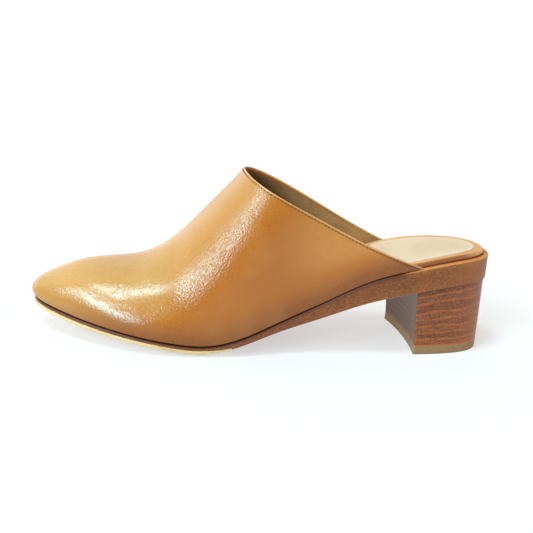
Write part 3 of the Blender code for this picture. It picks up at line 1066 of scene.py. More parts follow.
@dataclass(frozen=True)
class Crease:
    """A soft trough or ridge in the upper, along stations and shares of the way over the section."""

    path: tuple[tuple[float, float], ...]
    height: float
    width: float
    steps_between: int = 12  # pieces of line between two points of the path
    reach: float = 3.0  # widths away where it has died out
    fade: float = 1.5  # how gently it rises from its ends

    def centre_line(self, last: Last) -> tuple[np.ndarray, np.ndarray]:
        """The line that the crease runs along.

        Args:
            last: The form that the path lies on.

        Returns:
            Points as station, Y and Z, and the share of the path's length at each.
        """
        rows = np.array(self.path)
        knots = np.arange(len(rows))
        steps = np.linspace(0, len(rows) - 1, self.steps_between * (len(rows) - 1) + 1)
        line = last.at(spline(knots, rows[:, 0])(steps), spline(knots, rows[:, 1])(steps))
        return line, steps / steps[-1]

    def over(self, last: Last, points: np.ndarray) -> np.ndarray:
        """Height that the crease adds at each point.

        Args:
            last: The form that the path lies on.
            points: Points as station, Y and Z.

        Returns:
            Heights in the points' own grid, fading out towards the path's ends.
        """
        line, share = self.centre_line(last)
        flat_points = points.reshape(-1, 3)
        margin = self.reach * self.width
        low, high = line.min(axis=0) - margin, line.max(axis=0) + margin
        near = ((flat_points > low) & (flat_points < high)).all(axis=1)
        start, step = line[:-1], np.diff(line, axis=0)
        offset = flat_points[near][:, None] - start[None]
        along = np.clip((offset * step).sum(axis=-1) / (step**2).sum(axis=-1), 0, 1)
        squared = ((offset - along[..., None] * step) ** 2).sum(axis=-1)
        best = squared.argmin(axis=1)
        rows = np.arange(len(best))
        place = share[best] + along[rows, best] * (share[1] - share[0])
        fading = np.sin(math.pi * np.clip(place, 0, 1)) ** self.fade
        added = np.zeros(len(flat_points))
        added[near] = self.height * fading * np.exp(-squared[rows, best] / self.width**2)
        return added.reshape(points.shape[:-1])


# Each crease's path, height and width in mm, put where this leather folds and swells.
CREASES = (
    # Breaks across the vamp where the ball flexes.
    Crease(((176.0, 0.52), (178.0, 0.40), (182.0, 0.32), (187.0, 0.26)), -0.8, 6.0),
    Crease(((186.0, 0.46), (190.0, 0.38), (195.0, 0.31), (200.0, 0.27)), 0.5, 5.0),
    # The full shoulder on the outer side in front of the break, and the one behind it.
    Crease(
        ((247.0, 0.30), (240.0, 0.285), (231.0, 0.264), (223.0, 0.244), (216.0, 0.228), (209.0, 0.212)),
        0.45,
        6.0,
    ),
    Crease(((206.0, 0.25), (198.0, 0.238), (190.0, 0.212), (183.0, 0.185), (177.0, 0.18)), 0.35, 5.0),
    # Short upright wrinkles between them.
    Crease(((206.0, 0.31), (205.5, 0.24), (206.5, 0.16)), -0.32, 1.8),
    Crease(((209.0, 0.27), (208.5, 0.22), (208.8, 0.17)), -0.10, 0.8),
    Crease(((203.0, 0.26), (203.0, 0.22), (203.5, 0.18)), -0.10, 0.8),
    # Long faint wrinkles beside the feather line, left by lasting.
    Crease(((196.0, 0.13), (206.0, 0.14), (217.0, 0.13)), -0.14, 1.4),
    Crease(((207.0, 0.17), (216.0, 0.175), (225.0, 0.16)), -0.12, 1.2),
    Crease(((201.0, 0.20), (210.0, 0.21), (219.0, 0.20)), -0.10, 1.2),
    Crease(((170.0, 0.13), (182.0, 0.14), (192.0, 0.12)), 0.20, 3.5),
)


@dataclass(frozen=True)
class Wing:
    """One side of the topline, from the peak on the instep to where it runs out at the waist."""

    side: Side
    end_station: float
    bow: float  # how far its middle rises over a straight line
    sway: float  # how much higher it runs near the peak, and lower near its end


@dataclass(frozen=True)
class ShadeAndWear:
    """Where the calf's tone changes, much of it painted light and shade, and where its grain is worn smooth:
    each pair is where the change begins and where it is full, in mm.
    """

    # low_rise, low_fade, waist_rise and waist_stations place painted shade low on the sides.
    low_rise: Span = (1.0, 24.0)
    low_fade: Span = (200.0, 248.0)
    grain_stations: Span = (190.0, 158.0)
    grain_upward: Span = (0.1, 0.35)  # share of the surface's normal that points up
    # crown_upward places painted light on faces that turn upward.
    crown_upward: Span = (0.18, 0.85)
    wing_rise: Span = (20.0, 44.0)
    wing_stations: Span = (135.0, 95.0)
    # toe_stations places painted light over the toe.
    toe_stations: Span = (185.0, 248.0)
    waist_rise: Span = (8.0, 34.0)
    waist_stations: Span = (130.0, 70.0)
    # foot_rise places painted shade in the gap above the sole.
    foot_rise: Span = (0.1, 0.5)
    # lining_stations places the lining's painted shade deep in the toe.
    lining_stations: Span = (75.0, 142.0)
    least_grain: float = 0.4  # the grain left where it is worn smooth
    low_lost: float = 0.5  # how much of the low tone fades out towards the toe


@dataclass(frozen=True)
class RibNet:
    """The net of ribs and rows that the shell is drawn on, closer where its shape turns fast."""

    ribs: int = 120
    rows: int = 130
    rim_rows: int = 6
    samples: int = 801  # points on a line before it is divided
    end_crowding: float = 2.0  # how much the ribs crowd towards the peak along the topline
    toe_crowding: float = 1.5  # how much their feet crowd towards the toe
    crowding: float = 5.0  # how much the rows crowd at both ends of a rib
    top_reach: float = 2.2
    foot_reach: float = 2.5
    slope_sample: int = 4  # how many samples down a rib its slope is read
    least_slant: float = 0.3


@dataclass(frozen=True)
class FoldedRim:
    """The folded edge along the topline."""

    band: float = 0.6
    soft: float = 0.3
    rounding: float = 0.5
    bead: float = 0.08
    press_width: float = 0.5
    most: float = 0.3  # share of a short rib that the rim may take


@dataclass(frozen=True)
class LiningLayer:
    """How the lining lies inside the shell."""

    thickness: float = 0.55
    gap: float = 0.02
    first_row: int = 12
    rounding: float = 0.22
    clearance: float = 0.15


@dataclass(frozen=True)
class Stitch:
    """The lockstitches along the topline and the line pressed under them."""

    drop: float = 1.35  # distance below the topline
    groove: float = 0.10
    groove_width: float = 0.4
    pitch: float = 2.1
    length: float = 1.15
    thread: float = 0.55
    sides: int = 8
    steps: int = 6
    end_share: float = 0.02  # share of the thread's section left at a stitch's ends
    sunk: float = 0.06
    margin: float = 0.6  # wall that a stitch needs under it


@dataclass
class Upper:
    """The closed-toe upper: a calf shell with a folded rim, its lining and its topline stitching."""

    workshop: Workshop
    peak_station: float = 143.0
    lateral_wing: Wing = Wing(Side.LATERAL, 45.5, -2.45, 0.5)
    medial_wing: Wing = Wing(Side.MEDIAL, 51.9, 1.35, 1.28)
    wing_end_height: float = 0.8
    leather: float = 1.0
    foot_tuck: float = 0.55  # how far the wall's foot is drawn in, and up to what height
    foot_reach: float = 1.3
    press_room: float = 5.0  # height of wall that the pressed lines need at the wing's end
    mark_room: float = 6.0  # height of wall that their tone needs
    full_trough: float = 0.5  # the depth at which a crease has its whole painted shade
    sharp_angle: float = 80.0
    net: RibNet = RibNet()
    fold: FoldedRim = FoldedRim()
    stitch: Stitch = Stitch()
    layer: LiningLayer = LiningLayer()
    shade_and_wear: ShadeAndWear = ShadeAndWear()
    calf: CalfLeather = CalfLeather()
    goat: LiningLeather = LiningLeather()
    outer_thread: WaxedThread = WaxedThread()
    inner_thread: WaxedThread = WaxedThread("#5A4223")
    creases: tuple[Crease, ...] = CREASES
    shell: np.ndarray = field(init=False)
    normals: np.ndarray = field(init=False)
    below: np.ndarray = field(init=False)
    above: np.ndarray = field(init=False)
    rim: np.ndarray = field(init=False)
    trough_shade: np.ndarray = field(init=False)

    @property
    def last(self) -> Last:
        """The form that the upper is shaped over."""
        return self.workshop.last

    def topline(self, wing: Wing, share: np.ndarray) -> np.ndarray:
        """One side of the topline on the last's polar map.

        Args:
            wing: The side.
            share: Share of the way from the peak to the wing's end.

        Returns:
            X and Y on the map's half disc, in two columns.
        """
        last = self.last
        square = last.lateral_square if wing.side is Side.LATERAL else last.medial_square
        station = self.peak_station + (wing.end_station - self.peak_station) * share
        peak_ridge = last.ridge_height(turn(self.peak_station / last.length))
        peak_height = last.feather(self.peak_station) + peak_ridge
        end_height = last.feather(wing.end_station) + self.wing_end_height
        arch = 4 * share * (1 - share) * (wing.bow + 2 * wing.sway * (1 - 2 * share))
        height = peak_height + (end_height - peak_height) * share + arch
        along = station / last.length
        rise = np.clip((height - last.feather(station)) / last.ridge_height(turn(along)), 0, 1)
        angle = np.arcsin(rise ** (square(along) / 2))
        return (1 - turn(along))[:, None] * np.stack([np.cos(angle), np.sin(angle)], axis=-1)

    def feather_radii(self, wing: Wing) -> np.ndarray:
        """Radii of the ribs' feet on one side's feather line, closer at the toe.

        Args:
            wing: The side.

        Returns:
            The radius of each rib's foot on the polar map.
        """
        radii = np.linspace(1 - turn(wing.end_station / self.last.length), 0, self.net.samples)
        angle = 0.0 if wing.side is Side.LATERAL else 1.0
        run = run_length(self.last.surface(radii, np.full_like(radii, angle)))
        share = 1 - (1 - np.linspace(0, 1, self.net.ribs + 1)) ** self.net.toe_crowding
        return np.interp(run[-1] * share, run, radii)

    def on_map(self, wing: Wing, place: np.ndarray) -> np.ndarray:
        """Points on the last from places on the half disc of its polar map.

        Args:
            wing: The side that the half disc covers.
            place: X and Y on the half disc.

        Returns:
            Points as station, Y and Z.
        """
        over = np.arctan2(place[..., 1], place[..., 0]) / math.pi
        radius = np.hypot(place[..., 0], place[..., 1])
        return self.last.surface(radius, over if wing.side is Side.LATERAL else 1 - over)

    def side_ribs(self, wing: Wing) -> tuple[np.ndarray, ...]:
        """Ribs of one half of the upper, each from the topline down to the feather line.

        Args:
            wing: The half.

        Returns:
            Points as station, Y and Z with the first rib at the waist and the last along the crest; each
            point's distance below the topline and above the feather line; and the rim's radius at each rib.
        """
        share = np.linspace(1, 0, self.net.ribs + 1) ** self.net.end_crowding
        top = self.topline(wing, share)
        foot = np.stack([self.feather_radii(wing), np.zeros_like(share)], axis=-1)
        edge = self.on_map(wing, top)
        edge_way = np.gradient(edge, axis=0)
        edge_way /= np.linalg.norm(edge_way, axis=1, keepdims=True)
        fine = np.linspace(0, 1, self.net.samples)
        quarter = np.linspace(0, math.pi / 2, self.net.rim_rows + 1)[:-1]
        ribs, below, above, rims = [], [], [], []
        for start, end, way in zip(top, foot, edge_way):
            line = self.on_map(wing, start + (end - start) * fine[:, None])
            run = run_length(line)
            down = line[self.net.slope_sample] - line[0]
            down /= np.linalg.norm(down)
            square_on = max(np.linalg.norm(np.cross(down, way)), self.net.least_slant)
            rim = min(self.leather / 2, self.fold.most * run[-1] * square_on)
            near_top = self.net.crowding * np.exp(-run * square_on / self.net.top_reach)
            near_foot = self.net.crowding * np.exp(-(run[-1] - run) / self.net.foot_reach)
            density = 1 + near_top + near_foot
            placed = np.concatenate([[0], np.cumsum((density[1:] + density[:-1]) / 2 * np.diff(run))])
            first = np.interp(rim / square_on, run, placed)
            body = np.interp(np.linspace(first, placed[-1], self.net.rows + 1), placed, run)
            steps = np.concatenate([rim * (1 - np.cos(quarter)) / square_on, body])
            at = np.interp(steps, run, fine)
            ribs.append(self.on_map(wing, start + (end - start) * at[:, None]))
            below.append(steps * square_on)
            above.append(run[-1] - steps)
            rims.append(rim)
        return np.array(ribs), np.array(below), np.array(above), np.array(rims)

    def shape_shell(self) -> None:
        """Works out the leather's outer surface with its creases, rim, stitch line and tucked foot."""
        halves = [self.side_ribs(wing) for wing in (self.lateral_wing, self.medial_wing)]
        surface, below, above, rim = (np.concatenate([a, b[-2::-1]]) for a, b in zip(*halves))
        normals = grid_normals(surface)
        outward = surface - np.array([self.peak_station, 0, 0])
        normals *= np.sign((normals * outward).sum(axis=-1).mean())
        folds = sum(crease.over(self.last, surface) for crease in self.creases)
        tall = np.clip(above[:, :1] / self.press_room, 0, 1)
        groove = -self.stitch.groove * bump(below, self.stitch.drop, self.fold.press_width)
        bead = self.fold.bead * bump(below, self.fold.band / 2, self.fold.press_width)
        tuck = -self.foot_tuck * np.clip(1 - above / self.foot_reach, 0, 1) ** 2
        self.shell = surface + normals * (folds + tall * (groove + bead + tuck))[..., None]
        self.normals, self.below, self.above, self.rim = normals, below, above, rim
        self.trough_shade = np.clip(-folds / self.full_trough, 0, 1)

    def wall(self, outer: float, inner: float, first: int, round_top: float) -> tuple[Shape, np.ndarray]:
        """A closed layer of the wall between two depths under the shell's surface.

        Args:
            outer: Depth of the layer's outer face, as a share of the leather's thickness.
            inner: Depth of its inner face.
            first: The row that its top edge starts from.
            round_top: Radius of its top edge as a share of the leather's thickness.

        Returns:
            The shape, and its grid of point numbers, outer face first.
        """
        thick = 2 * self.rim[:, None]
        below = self.below[:, first:] - self.below[:, first : first + 1]
        lift = np.clip(1 - below / np.maximum(round_top * thick, SLIVER), 0, 1)
        half = (inner - outer) / 2 * thick * np.sqrt(np.clip(1 - lift**2, 0, 1))
        middle = (inner + outer) / 2 * thick
        surface, normals = self.shell[:, first:], self.normals[:, first:]
        faces = [surface - normals * (middle + side * half)[..., None] for side in (-1, 1)]
        for face in faces:
            floor = self.last.feather(face[..., 0]) + (0.0 if outer == 0 else self.layer.clearance)
            face[..., 2] = np.maximum(face[..., 2], floor)
        shape = Shape()
        index = np.stack([shape.add(face) for face in faces])
        shape.join(np.stack([index[0][:, -1], index[1][:, -1]]))
        for rib in (0, -1):
            shape.join(np.stack([index[0][rib], index[1][rib]]))
        return shape, index

    def build_leather(self) -> None:
        """The calf shell with its folded rim."""
        shape, index = self.wall(0.0, 1.0, 0, self.fold.rounding)
        shade_and_wear = self.shade_and_wear
        outside = np.zeros(index.shape, bool)
        outside[0] = True
        station = shape.all_points()[index][..., 0]
        upward = np.stack([self.normals[..., 2]] * 2)
        below, above = np.stack([self.below] * 2), np.stack([self.above] * 2)
        tall = np.clip(above[:, :, :1] / self.mark_room, 0, 1)
        rim_band = self.fold.band - self.fold.soft, self.fold.band + self.fold.soft
        low_fade = 1 - shade_and_wear.low_lost * ease(*shade_and_wear.low_fade, station)
        unbroken, facing_up = (
            shade_and_wear.least_grain + (1 - shade_and_wear.least_grain) * share
            for share in (ease(*shade_and_wear.grain_stations, station), ease(*shade_and_wear.grain_upward, upward))
        )
        marks = {
            # Painted highlight along the folded edge.
            "rim": 1 - ease(*rim_band, below),
            # Painted shade along the stitch groove.
            "groove": bump(below, self.stitch.drop, self.stitch.groove_width) * outside * tall,
            # Painted shade in the gap at the foot, above the sole.
            "foot": (1 - ease(*shade_and_wear.foot_rise, above)) * outside * tall,
            # Painted shade low on the sides, fading towards the toe.
            "low": (1 - ease(*shade_and_wear.low_rise, above)) * outside * low_fade,
            "grain": unbroken * facing_up,
            # Painted light on faces that turn upward.
            "crown": ease(*shade_and_wear.crown_upward, upward) * outside,
            "wing": ease(*shade_and_wear.wing_rise, above) * ease(*shade_and_wear.wing_stations, station) * outside,
            # Painted light over the toe.
            "toe": ease(*shade_and_wear.toe_stations, station) * outside,
            # Painted shade low on the waist.
            "waist": ease(*shade_and_wear.waist_stations, station) * (1 - ease(*shade_and_wear.waist_rise, above)) * outside,
            # Painted shade in the creases' troughs.
            "crease": np.stack([self.trough_shade, 0 * self.trough_shade]),
        }
        made = self.calf.make()
        self.workshop.piece("upper_leather", shape, made, "calf_leather", "upper", marks, self.sharp_angle)

    def build_lining(self) -> np.ndarray:
        """The lining, a second layer inside the shell.

        Returns:
            The lining's inner face, as a grid of points.
        """
        outer = 1 + self.layer.gap
        inner = outer + self.layer.thickness / self.leather
        shape, index = self.wall(outer, inner, self.layer.first_row, self.layer.rounding)
        points = shape.all_points()
        # Painted shade deeper in the toe.
        marks = {"depth": ease(*self.shade_and_wear.lining_stations, points[:, 0])}
        made = self.goat.make()
        self.workshop.piece("upper_lining", shape, made, "calf_leather", "", marks, self.sharp_angle)
        return points[index[1]]

    def stitch_line(self, surface: np.ndarray, below: np.ndarray) -> tuple[np.ndarray, np.ndarray]:
        """The stitch line on one face of the wall.

        Args:
            surface: The face, ribs by rows.
            below: Distance of each point below the topline.

        Returns:
            Points along the line and the face's normal at each, from one wing's end to the other.
        """
        normals = grid_normals(surface)
        kept = [i for i, row in enumerate(below) if row[-1] > self.stitch.drop + self.stitch.margin]
        line = [read_rows(np.array([self.stitch.drop]), below[i], surface[i])[0] for i in kept]
        facing = [read_rows(np.array([self.stitch.drop]), below[i], normals[i])[0] for i in kept]
        return np.array(line), np.array(facing)

    def build_stitching(
        self, name: str, surface: np.ndarray, below: np.ndarray, finish: WaxedThread
    ) -> None:
        """A row of lockstitches, each a short length of thread pulled into the leather.

        Args:
            name: The piece's name.
            surface: The face of the wall that it is sewn through.
            below: Distance of each of the face's points below the topline.
            finish: The thread's material.
        """
        line, facing = self.stitch_line(surface, below)
        run = run_length(line)
        count = int(run[-1] / self.stitch.pitch)
        middles = (np.arange(count) + 0.5) * run[-1] / count
        outward = np.sign((facing * (line - [self.peak_station, 0, 0])).sum(axis=1).mean())
        away = outward if surface is self.shell else -outward
        turns = np.linspace(0, 2 * math.pi, self.stitch.sides + 1)[:-1]
        lengths = np.linspace(-1, 1, self.stitch.steps + 1)
        thick = self.stitch.thread / 2 * np.sqrt(np.clip(1 - np.abs(lengths) ** 4, self.stitch.end_share, 1))
        shape = Shape()
        for middle in middles:
            centre = read_rows(middle + lengths * self.stitch.length / 2, run, line)
            up = read_rows(np.array([middle]), run, facing)[0] * away
            up /= np.linalg.norm(up)
            aside = np.cross(centre[-1] - centre[0], up)
            aside /= np.linalg.norm(aside)
            centre = centre + up * (thick / 2 - self.stitch.sunk)[:, None]
            ring = np.cos(turns)[:, None] * aside + np.sin(turns)[:, None] * up
            shape.add_tube(centre[:, None] + thick[:, None, None] * ring[None])
        made = finish.make()
        self.workshop.piece(name, shape, made, "calf_leather", "", None, self.sharp_angle)

    def build(self) -> None:
        """Builds and dresses the whole upper."""
        self.shape_shell()
        self.build_leather()
        inside = self.build_lining()
        self.build_stitching("outer_stitching", self.shell, self.below, self.outer_thread)
        inside_below = self.below[:, -inside.shape[1] :]
        self.build_stitching("inner_stitching", inside, inside_below, self.inner_thread)


# The levels of a plate: how far outside the outline each is, and its height at each station.
Levels = list[tuple[float, Curve]]


@dataclass
class Plate:
    """A piece that follows the shoe's outline, lofted through levels from its bottom to its top."""

    last: Last
    shares: np.ndarray
    strips: int = 24

    def loft(self, levels: Levels, crowns: tuple[Callable, Callable]) -> Shape:
        """Lofts the plate.

        Args:
            levels: Each level's distance outside the outline and its height at each station, lowest first.
            crowns: What the bottom and top faces add to the height, from station and place across, -1 to 1.

        Returns:
            The closed shape.
        """
        grids = []
        for offset, height in levels:
            edges = self.last.edges(offset, self.shares)
            grids.append(np.concatenate([edges, height(edges[..., 0])[..., None]], axis=-1))
        loops = np.array([np.concatenate([grid[:, 0], grid[::-1, 1]]) for grid in grids])
        shape = Shape()
        shape.add(loops, closed=True)
        across = (1 - np.cos(np.linspace(0, math.pi, self.strips + 1)))[:, None] - 1
        for grid, crown in ((grids[0], crowns[0]), (grids[-1], crowns[1])):
            face = grid[:, None, 0] * (1 - across) / 2 + grid[:, None, 1] * (1 + across) / 2
            face[..., 2] += crown(face[..., 0], across[None, :, 0])
            shape.add(face)
        return shape


def flat(station: np.ndarray, across: np.ndarray) -> np.ndarray:
    """No crown."""
    return np.zeros(np.broadcast(station, across).shape)


@dataclass
class Insole:
    """The covered insole board."""

    workshop: Workshop
    cover: CoverLeather = CoverLeather()
    inset: float = INSOLE_INSET
    thickness: float = 2.3
    rounding: float = 1.3
    under_tuck: float = 0.2
    round_steps: int = 8
    stations: int = 200
    shade_inward: Span = (0.9, 4.0)  # how far the painted shade on the near edge reaches in from the side
    shade_stations: Span = (8.0, 22.0)
    wall_start: float = 0.4
    wall_margin: float = 0.3
    foot_rise: Span = (0.0, 1.3)

    def build(self) -> None:
        """Builds the board with its rolled edge."""
        last = self.workshop.last
        levels: Levels = [(-self.inset - self.under_tuck, last.feather)]
        for down, inward in quarter_round(self.rounding, self.round_steps):
            up = self.thickness - down
            levels.append((-self.inset - inward, lambda station, up=up: last.feather(station) + up))
        shares = even_shares(self.stations)
        shape = Plate(last, shares).loft(levels, (flat, flat))
        station, y, z = shape.all_points().T
        rise = z - last.feather(station)
        near_edge = last.edges(-self.inset, shares)[:, 0]
        inward = np.interp(station, near_edge[:, 0], np.abs(near_edge[:, 1])) - np.abs(y)
        # Painted shade over the rolled edge on the near side.
        near = (y < 0) * ease(*self.shade_stations, station)
        near_shade = (1 - ease(*self.shade_inward, inward)) * near
        # Painted shade down the wall, darkest at its foot against the sole.
        wall = 1 - ease(self.wall_start, self.thickness - self.wall_margin, rise)
        marks = {"wall": np.maximum(wall, near_shade), "foot": 1 - ease(*self.foot_rise, rise)}
        self.workshop.piece("insole_board", shape, self.cover.make(), "insole_cover", "insole", marks)


@dataclass
class Sock:
    """The soft sock over the insole: sheepskin on thin foam, with a pressed line near its edge."""

    workshop: Workshop
    sheepskin: SockLeather = SockLeather()
    inset: float = 7.8
    base: float = 2.3
    edge_height: float = 0.4
    edge_start: float = 0.05
    edge_roundness: float = 0.6
    round_steps: int = 7
    under_tuck: float = 0.15
    crown: float = 0.25
    crown_fullness: float = 0.8
    unevenness: Waver = Waver(0.12, 46.0, 3)
    unevenness_skew: float = 9.0
    line_inset: float = 1.7
    line_width: float = 0.55
    line_depth: float = 0.12
    top_share: float = 0.8  # share of the edge's height over which a point is on top
    heel_tread: Span = (70.0, 20.0)
    ball_tread: Span = (130.0, 165.0)
    ball_share: float = 0.8
    tread_inward: Span = (3.0, 12.0)
    stations: int = 220
    strips: int = 72
    fill: float = 0.35

    def build(self) -> None:
        """Builds the pad, crowned between its edges and pressed down along the line."""
        last = self.workshop.last
        levels: Levels = [(-self.inset - self.under_tuck, lambda station: last.feather(station) + self.base)]
        for step in np.linspace(0, math.pi / 2, self.round_steps):
            out = -self.inset - self.edge_roundness * self.edge_height * (1 - math.cos(step))
            up = self.base + self.edge_start + (self.edge_height - self.edge_start) * math.sin(step)
            levels.append((out, lambda station, up=up: last.feather(station) + up))

        def top(station: np.ndarray, across: np.ndarray) -> np.ndarray:
            """The crown over the pad's edge, softly uneven."""
            soft = 1 + self.unevenness.at(station + self.unevenness_skew * across)
            return self.crown * (1 - across**2) ** self.crown_fullness * soft

        shape = Plate(last, even_shares(self.stations), self.strips).loft(levels, (flat, top))
        points = shape.all_points()
        station = points[:, 0]
        inside = last.edge_place(points)[0] - self.inset
        on_top = points[:, 2] > last.feather(station) + self.base + self.top_share * self.edge_height
        line = bump(inside, self.line_inset, self.line_width) * on_top
        points[:, 2] -= self.line_depth * line
        shape.points = [points]
        trodden = ease(*self.heel_tread, station) + self.ball_share * ease(*self.ball_tread, station)
        marks = {"line": line, "tread": trodden * ease(*self.tread_inward, inside)}
        made = self.sheepskin.make()
        pad = self.workshop.piece("sock_pad", shape, made, "sock_leather", "sock", marks)


@dataclass
class Sole:
    """The sole board and the outsole under its front."""

    workshop: Workshop
    board: SoleEdge = SoleEdge()
    outsole: OutsoleLeather = OutsoleLeather()
    gap: float = 0.3
    corner: float = 0.4
    corner_steps: int = 5
    side_levels: tuple[float, ...] = (0.45, 0.6, 0.75)
    board_strips: int = 8
    step_reach: float = 0.004  # share of the length either side of the outsole's step that gets extra rows
    step_rows: int = 9
    rear_lean: float = 0.6
    rear_lean_reach: float = 40.0
    seat_end: Span = (50.0, 60.0)  # where the seat's lighter top edge ends and the painted shade under the upper begins
    wear_and_highlight_band: Span = (0.1, 0.5)
    wear_and_highlight_rear: Span = (10.0, 40.0)
    wear_and_highlight_front: Span = (90.0, 110.0)
    wear_and_highlight_low: float = 0.7
    seam_band: Span = (0.4, 0.75)
    aft_stations: Span = (4.0, 48.0)
    outsole_thickness: float = 1.85
    outsole_rear_thickness: float = 0.8
    outsole_rear_station: float = 147.0
    outsole_taper: float = 13.0
    outsole_step: float = 0.4
    outsole_crown: float = 2.6
    outsole_corner: float = 0.35
    outsole_corner_steps: int = 4
    outsole_levels: tuple[float, ...] = (0.4, 0.7, 0.92)
    outsole_top_inset: float = 0.1
    outsole_top_gap: float = 0.02
    outsole_strips: int = 48
    ragged_stations: Span = (235.0, 200.0)
    ragged_least: float = 0.4
    ragged_long: Waver = Waver(0.10, 5.0, 11)
    ragged_short: Waver = Waver(0.06, 1.7, 12)
    tread_rise: Span = (0.2, 3.2)
    tread_waver: Waver = Waver(0.5, 22.0, 5)
    tread_depth: float = 0.15  # how far up the lower edge still counts as tread
    stations: int = 260
    outsole_stations: int = 180

    def outsole_onset(self, station: np.ndarray) -> np.ndarray:
        """How far the outsole has come up to its full thickness, from 0 at its rear edge to 1."""
        return np.clip((station - self.outsole_rear_station) / self.outsole_taper, 0, 1)

    def outsole_depth(self, station: np.ndarray) -> np.ndarray:
        """Thickness of the outsole, thinning to nothing at its rear edge's step.

        Args:
            station: Where to read it.

        Returns:
            The thickness at each station.
        """
        grown = (self.outsole_thickness - self.outsole_rear_thickness) * self.outsole_onset(station)
        rear = self.outsole_rear_station
        return (self.outsole_rear_thickness + grown) * ease(rear - self.outsole_step, rear, station)

    def board_marks(self, points: np.ndarray, bottom: np.ndarray) -> np.ndarray:
        """Where points lie on the board.

        Args:
            points: Points as station, Y and Z.
            bottom: Height of the board's underside at each point.

        Returns:
            Run along the edge, rise over the underside and depth inside, in three columns.
        """
        distance, run = self.workshop.last.edge_place(points)
        lateral, medial = self.workshop.last.outline(points[:, 0])
        within = (points[:, 1] > lateral) & (points[:, 1] < medial)
        depth = np.where(within, distance, -distance) + FLANGE
        return np.stack([run, points[:, 2] - bottom, depth], axis=-1)

    def build_board(self) -> None:
        """The sole board: a thick edge from the heel to the waist, thin over the outsole."""
        last = self.workshop.last
        around = np.linspace(-self.step_reach, self.step_reach, self.step_rows)
        step = self.outsole_rear_station / last.length + around
        shares = np.unique(np.concatenate([even_shares(self.stations), step]))

        def bottom(station: np.ndarray) -> np.ndarray:
            """Height of the board's underside."""
            return last.underside(station) + self.outsole_depth(station)

        def level(share: float, up: float) -> Curve:
            """Height at a share of the edge's thickness, plus a little."""
            return lambda station: (
                bottom(station) * (1 - share) + (last.feather(station) - self.gap) * share + up
            )

        corner = quarter_round(self.corner, self.corner_steps)
        levels = [(FLANGE - inward, level(0, up)) for inward, up in corner]
        levels += [(FLANGE, level(share, 0)) for share in self.side_levels]
        levels += [(FLANGE - inward, level(1, -down)) for down, inward in corner]
        shape = Plate(last, shares, self.board_strips).loft(levels, (flat, flat))
        points = shape.all_points()
        station = points[:, 0].copy()
        under = bottom(station)
        over = last.feather(station) - self.gap - points[:, 2]
        rise = points[:, 2] - under
        behind = 1 - ease(*self.seat_end, station)
        top_edge = (1 - ease(*self.wear_and_highlight_band, over)) * behind
        low_stations = ease(*self.wear_and_highlight_rear, station) * (1 - ease(*self.wear_and_highlight_front, station))
        low_edge = self.wear_and_highlight_low * (1 - ease(*self.wear_and_highlight_band, rise)) * low_stations
        marks = {
            "board": self.board_marks(points, under),
            # Lighter along the top and lower edges, partly worn edge and partly painted highlight.
            "worn": np.maximum(top_edge, low_edge),
            # Painted shade just under the upper.
            "seam": (1 - ease(*self.seam_band, over)) * (1 - behind),
            # Painted light towards the heel's back.
            "aft": 1 - ease(*self.aft_stations, station),
        }
        lean = self.rear_lean * np.clip(1 - station / self.rear_lean_reach, 0, 1) ** 2
        points[:, 0] -= lean * over / (over + rise)
        shape.points = [points]
        self.workshop.piece("sole_board", shape, self.board.make(), "sole_leather", "midsole", marks)

    def build_outsole(self) -> None:
        """The thin outsole: crowned, trodden flat at the ball, with a slightly ragged lower edge."""
        last = self.workshop.last
        first = (self.outsole_rear_station + FLANGE) / (last.length + 2 * FLANGE)
        shares = first + (1 - first) * np.sin(np.linspace(0, math.pi / 2, self.outsole_stations + 1))

        def ragged(station: np.ndarray) -> np.ndarray:
            """How far the lower edge wavers up and down.

            Args:
                station: Where to read it.

            Returns:
                The rise at each station, or the fall where it is negative.
            """
            ball = ease(*self.ragged_stations, station)
            long, short = self.ragged_long.at(station), self.ragged_short.at(station)
            return long * (self.ragged_least + ball) + short * ball

        def level(share: float, up: float) -> Curve:
            """Height at a share of the outsole's thickness, plus a little."""
            return lambda station: (
                last.underside(station)
                + share * self.outsole_depth(station)
                + up
                + (1 - share) * ragged(station)
            )

        def crown(station: np.ndarray, across: np.ndarray) -> np.ndarray:
            """How far the tread hangs below its edges.

            Args:
                station: Where to read it.
                across: Place across the outsole, from -1 to 1.

            Returns:
                What it adds to the height.
            """
            lateral, medial = last.outline(station)
            width = (medial - lateral) / last.ball_width
            return -self.outsole_crown * self.outsole_onset(station) * width**2 * (1 - across**2)

        corner = quarter_round(self.outsole_corner, self.outsole_corner_steps)
        levels = [(FLANGE - inward, level(0, up)) for inward, up in corner]
        levels += [(FLANGE, level(share, 0)) for share in self.outsole_levels]
        levels += [(FLANGE - self.outsole_top_inset, level(1.0, -self.outsole_top_gap))]
        shape = Plate(last, shares, self.outsole_strips).loft(levels, (crown, flat))
        points = shape.all_points()
        points[:, 2] = np.maximum(points[:, 2], 0.0)
        shape.points = [points]
        under = points[:, 2] - last.underside(points[:, 0])
        height = points[:, 2] + self.tread_waver.at(points[:, 0] + 2 * points[:, 1])
        marks = {"tread": (1 - ease(*self.tread_rise, height)) * (under < self.tread_depth)}
        made = self.outsole.make()
        self.workshop.piece("outsole_leather", shape, made, "outsole_rubber", "outsole", marks)

    def build(self) -> None:
        """Builds and dresses both soles."""
        self.build_board()
        self.build_outsole()


